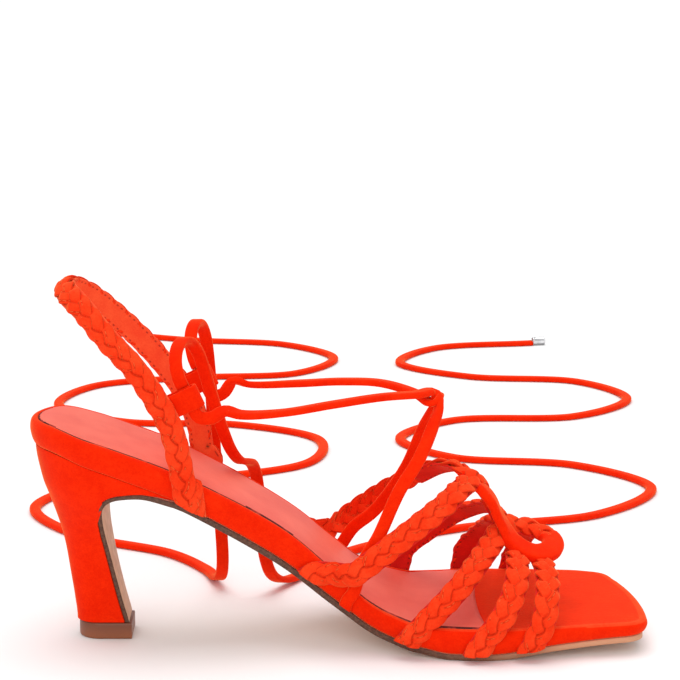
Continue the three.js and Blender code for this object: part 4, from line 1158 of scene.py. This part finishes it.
feetOf = {
    "ridgeNear": (-1, (0.437, 0.466, 0.493)),
    "secondNear": (-1, (0.603, 0.62, 0.634)),
    "thirdNear": (-1, (0.714, 0.731, 0.746)),
    "fourthNear": (-1, (0.804, 0.816, 0.825)),
    "ridgeFar": (1, (0.425, 0.45, 0.48)),
    "secondFar": (1, (0.59, 0.596, 0.604)),
    "thirdFar": (1, (0.706, 0.71, 0.715)),
    "fourthFar": (1, (0.795, 0.797, 0.799)),
    "slingNear": (-1, (0.272, 0.268, 0.265)),
    "slingFar": (1, (0.294, 0.289, 0.286)),
    "tieNear": (-1, (0.508, 0.517, 0.526)),
    "tieFar": (1, (0.492, 0.5, 0.509)),
}


def through(name, marks=1.0):
    way = []
    for i, (along, across, rise, ahead, out, up) in enumerate(strapRows[name]):
        x = xAt(along)
        point = Vector((x, across * edgeAt(x, across), footbed(x) + rise * sole["instep"]))
        way.append((point, Vector((ahead, out, up)), marks(i) if callable(marks) else marks))
    return way


def footOf(name, thick):
    side, places = feetOf[name]
    way = []
    for along, level in zip(places, (-0.35, 0.45, 0.95)):
        x = xAt(along)
        low = midsoleUnder(x)
        y = side * (edgeAt(x, side) + thick / 2 - 0.4)
        way.append((Vector((x, y, low + (footbed(x) - low) * level)), Vector((0, side, 0)), 1.0))
    return way


def placesOf(way, step):
    return stationsAlong([w[0] for w in way], [w[1] for w in way], [w[2] for w in way], step)


def trimmed(bm, names):
    # straps end where the wrapped sole ends
    for name in names:
        side, places = feetOf[name]
        x = xAt(places[0] * 0.6 + places[1] * 0.4)
        slope = (midsoleUnder(x + 2) - midsoleUnder(x - 2)) / 4
        low = Vector((x, 0.0, midsoleUnder(x) + 0.35))
        bmesh.ops.bisect_plane(
            bm, geom=bm.verts[:] + bm.edges[:] + bm.faces[:], dist=1e-7, plane_co=low * mm,
            plane_no=Vector((-slope, 0.0, 1.0)).normalized(), clear_inner=True, clear_outer=False,
        )
        closeEnds(bm)
    return bm


def cordRing(width, thick, count=14):
    # section of a folded cord: flat-topped with full edges
    ring = []
    for i in range(count):
        angle = math.tau * i / count
        c, s = math.cos(angle), math.sin(angle)
        across = width / 2 * math.copysign(abs(c) ** 0.8, c)
        ring.append((across, thick / 2 * math.copysign(abs(s) ** 0.75, s)))
    return ring


plaitRing = cordRing(plait["cordWidth"], plait["cordThick"])
plaitBands = stripBands(plaitRing, plait["cordWidth"])


def plaitCord(places, order, shift):
    # one of the three cords, over and under its fellows in turn
    period = 3 * plait["pitch"]
    parts = []

    def middle(s):
        turn = math.tau * (s["far"] / period + order / 3 + shift)
        u = plait["sway"] * math.sin(turn)
        v = plait["lift"] * math.sin(2 * turn) + 0.12
        return s["point"] + s["across"] * u + s["face"] * v, turn

    runs = [[]]
    for i, s in enumerate(places):
        if s["mark"] > 0.25:
            runs[-1].append(i)
        elif runs[-1]:
            runs.append([])
    for run in runs:
        if len(run) < 4:
            continue
        rings, lengths = [], []
        centres = [middle(places[i])[0] for i in run]
        far = 0.0
        for j, i in enumerate(run):
            s = places[i]
            turn = middle(s)[1]
            ahead = centres[min(j + 1, len(run) - 1)] - centres[max(j - 1, 0)]
            ahead.normalize()
            roll = -0.5 * math.sin(turn)
            face = s["face"] * math.cos(roll) - s["across"] * math.sin(roll)
            face = (face - ahead * face.dot(ahead)).normalized()
            across = ahead.cross(face)
            if j:
                far += (centres[j] - centres[j - 1]).length
            rings.append([centres[j] + across * u + face * v for u, v in plaitRing])
            lengths.append(far * mm)
        bm = skin(rings, bands=plaitBands, runs=lengths)
        closeEnds(bm)
        parts.append(bm)
    return parts


def backRing(s):
    # lining strip under the plait; where the strap is plain it covers the plait
    cover = ease((0.8 - s["mark"]) / 0.45)
    top = lerp(plait["backTop"], plait["smoothTop"], cover)
    low = -plait["thick"] / 2
    half = lerp(plait["backWidth"], plait["smoothWidth"], cover) / 2
    soft = min(lerp(0.4, 0.95, cover), (top - low) * 0.48)
    middle = (top + low) / 2
    ring = roundedStrip(2 * half, top - low, soft, corner=2, flat=5)
    crown = 0.16 * cover
    return [(u, v + middle + (crown * (1 - (u / half) ** 2) if v > 0 else 0.0)) for u, v in ring]


backBands = stripBands(roundedStrip(1.0, 0.2, 0.05, corner=2, flat=5), 1.0)


def makeStrap(way, feet, shift, backed=None):
    fine = placesOf(way, plait["step"])
    cords = []
    for order in range(3):
        cords += plaitCord(fine, order, shift)
    places = placesOf(way[:backed], plait["backStep"])
    back = sweep(places, backRing, backBands)
    closeEnds(back)
    for face in back.faces:  # the plain stretch is suede on both faces
        centre = face.calc_center_median() / mm
        nearest = min(places, key=lambda s: (s["point"] - centre).length_squared)
        face.material_index = 1 if nearest["mark"] < 0.7 else 0
    return [trimmed(bm, feet) for bm in cords], trimmed(back, feet)


def liningStrip(name, deep, lit, holeTone):
    # smooth back of a strap: fine nap, a row of small holes near each edge
    made = Finish(name)
    fibres = made.grain(suedeTones["nap"] * 1.2, 3.0, 0.6)
    patches = made.grain(120.0, 3.0, 0.55)
    run, across, _ = made.parts(made.uv("strip"))
    side = abs(across - 0.5)
    row = 1.0 - abs(side - 0.375).step(0.02, 0.045)
    hole = row * (1.0 - abs((run / 0.0024) % 1.0 - 0.5).step(0.12, 0.26))
    tone = (fibres * 0.4 + patches * 0.6).step(0.35, 0.75)
    color = made.mix(tone, deep, lit)
    color = made.mix(hole * 0.8, color, holeTone)
    height = fibres * 0.35 - hole
    return made.surface(
        color, 0.8, made.bump(height, 0.0002, 0.6),
        Specular_IOR_Level=0.25, Sheen_Weight=0.15, Sheen_Roughness=0.5, Sheen_Tint=suedeTones["sheen"],
    )


# lit and shaded copies of one lining: the vamp straps' inner faces are painted shade, dark red; the
# slingback's lining is painted light, bright orange
strapLiningShaded = liningStrip("strapLiningShaded", (0.6, 0.006, 0.003), (0.82, 0.014, 0.005), (0.22, 0.004, 0.002))
slingLiningLit = liningStrip("slingLiningLit", (0.88, 0.06, 0.014), (0.98, 0.12, 0.03), (0.4, 0.02, 0.008))


def makeVamp():
    ridge = (
        footOf("ridgeNear", plait["thick"])
        + through("ridgeNear")
        + through("loop", lambda i: 1.0 if i < 3 else 0.5 if i == 3 else 0.0)
        + through("ridgeFar", lambda i: 0.0 if i < 6 else 1.0)
        + footOf("ridgeFar", plait["thick"])[::-1]
    )
    # the lining strip stops on the outer half of the ridge
    backed = 3 + len(strapRows["ridgeNear"] + strapRows["loop"]) + plait["backedRows"]
    straps = [makeStrap(ridge, ["ridgeNear", "ridgeFar"], 0.1, backed)]
    for i, name in enumerate(("secondNear", "thirdNear", "fourthNear", "secondFar", "thirdFar", "fourthFar")):
        straps.append(makeStrap(footOf(name, plait["thick"]) + through(name), [name], 0.15 * i))
    cords = [bm for strap in straps for bm in strap[0]]
    backs = [strap[1] for strap in straps]
    pieceFrom("vampPlaits", joined(cords), [suedeCord], ["upper_vamp"])
    pieceFrom("vampStrips", joined(backs), [strapLiningShaded, suedeWrap], ["upper_vamp"])


def makeSling():
    way = footOf("slingNear", plait["thick"]) + through("sling") + footOf("slingFar", plait["thick"])[::-1]
    cords, back = makeStrap(way, ["slingNear", "slingFar"], 0.3)
    pieceFrom("slingPlaits", joined(cords), [suedeCord], ["slingback"])
    pieceFrom("slingStrip", back, [slingLiningLit], ["slingback"])


makeVamp()
makeSling()

keeper = {
    "length": 14.0,
    "width": 8.7,
    "wall": 1.2,
    "soft": 0.42,
    "lean": 24.8,  # degrees
    "bendSteps": 12,
    "flatSteps": 8,
    "medial": (0.256, -0.914, 0.553, -1),
    "lateral": (0.269, 0.893, 0.531, 1),
}
keeperThick = tie["thick"] + 2 * (sole["gap"] + keeper["wall"])
lean = math.radians(keeper["lean"])
keeperAhead = Vector((math.cos(lean), 0.0, math.sin(lean)))
keeperUp = Vector((-math.sin(lean), 0.0, math.cos(lean)))
tieAhead = keeper["length"] / 2 - 2 * keeper["wall"] - tie["width"] / 2


def keeperCentre(which):
    along, across, rise, side = keeper[which]
    x = xAt(along)
    return Vector((x, across * edgeAt(x, side), footbed(x) + rise * sole["instep"]))


def makeKeeper(which):
    centre = keeperCentre(which)
    radius = keeperThick / 2 - keeper["wall"] / 2
    straight = keeper["length"] / 2 - keeperThick / 2
    track = []
    for end in (1, -1):
        for i in range(keeper["bendSteps"] + 1):
            turn = math.pi * (i / keeper["bendSteps"] - 0.5)
            c, s = end * math.cos(turn), end * math.sin(turn)
            track.append((end * straight + radius * c, radius * s, c, s))
        for i in range(1, keeper["flatSteps"]):
            place = lerp(straight, -straight, i / keeper["flatSteps"])
            track.append((end * place, end * radius, 0.0, float(end)))
    section = roundedStrip(keeper["width"], keeper["wall"], keeper["soft"], corner=2, flat=5)
    rings = []
    for ahead, y, outAhead, outY in track:
        middle = centre + keeperAhead * ahead + Vector((0.0, y, 0.0))
        outward = keeperAhead * outAhead + Vector((0.0, outY, 0.0))
        rings.append([middle + keeperUp * u + outward * v for u, v in section])
    runs = [i * 0.0008 for i in range(len(rings) + 1)]
    bm = skin(rings, bands=stripBands(section, keeper["width"]), runs=runs, looped=True)
    pieceFrom("keeper" + which.capitalize(), bm, [suedeWrap], ["keeper_" + which])


def keeperEntry(which):
    side = keeper[which][3]
    centre = keeperCentre(which) + keeperAhead * tieAhead
    ahead = centre - keeperUp * (keeper["width"] / 2)

    def at(forward, up):
        return ahead + keeperAhead * forward + keeperUp * up

    out = Vector((0, side, 0))
    return [
        (at(10.5, -5.6 if side < 0 else -1.5), Vector((0, 0.5 * side, 0.9)), 1.0),
        (at(4.6, -5.9 if side < 0 else -4.4), Vector((-0.2, side, 0.5)), 1.0),
        (at(0.5, -3.6), out, 1.0),
        (ahead, out, 1.0),
        (centre, out, 1.0),
        (centre + keeperUp * (keeper["width"] / 2 + 0.5), out, 1.0),
    ]


def makeInstepTie():
    strands = []
    for name, run, which in (("tieNear", "tieNearRun", "medial"), ("tieFar", "tieFarRun", "lateral")):
        way = footOf(name, tie["thick"]) + through(name) + through(run) + keeperEntry(which)
        strands.append(trimmed(tieAlong(placesOf(way, tie["heldStep"])), [name]))
    pieceFrom("instepTie", joined(strands), [suedeTie], ["instep_tie"])


makeKeeper("medial")
makeKeeper("lateral")
makeInstepTie()

studio = {
    "floor": (0.9, 0.895, 0.89),
    "overhead": 1.5,
    "overheadPlace": (0.0, 0.25, 1.5),
    "spread": 50.0,  # degrees that the overhead light fills
    "front": 6.0,
    "frontPlace": (-0.1, -1.3, 0.8),
    "frontAim": (0.09, 0.0, 0.04),
    "frontSize": 1.2,
    "surround": 0.72,
}


def floorFinish():
    made = Finish("paleFloor")
    cloud = made.grain(3.0, 2.0, 0.5)
    color = made.mix(cloud, tuple(c * 0.985 for c in studio["floor"]), studio["floor"])
    return made.surface(color, 0.85, Specular_IOR_Level=0.2)


def makeFloor():
    bm = bmesh.new()
    bmesh.ops.create_grid(bm, x_segments=2, y_segments=2, size=6.0)
    mesh = bpy.data.meshes.new("floor")
    bm.to_mesh(mesh)
    bm.free()
    mesh.materials.append(floorFinish())
    obj = bpy.data.objects.new("floor", mesh)
    bpy.context.scene.collection.objects.link(obj)


def makeLight(name, kind, place, aim, size, power):
    data = bpy.data.lights.new(name, kind)
    data.energy = power
    if kind == "AREA":
        data.size = size
    else:
        data.angle = math.radians(size)
    obj = bpy.data.objects.new(name, data)
    obj.location = place
    obj.rotation_euler = (Vector(aim) - Vector(place)).to_track_quat("-Z", "Y").to_euler()
    bpy.context.scene.collection.objects.link(obj)


makeFloor()
makeLight("overhead", "SUN", studio["overheadPlace"], (0.0, 0.0, 0.0), studio["spread"], studio["overhead"])
makeLight("front", "AREA", studio["frontPlace"], studio["frontAim"], studio["frontSize"], studio["front"])
world = bpy.data.worlds.new("surround")
world.use_nodes = True
background = world.node_tree.nodes["Background"].inputs
background["Color"].default_value = (1.0, 1.0, 1.0, 1.0)
background["Strength"].default_value = studio["surround"]
bpy.context.scene.world = world
bpy.context.scene.view_settings.view_transform = "Standard"
print("floor and lights made")
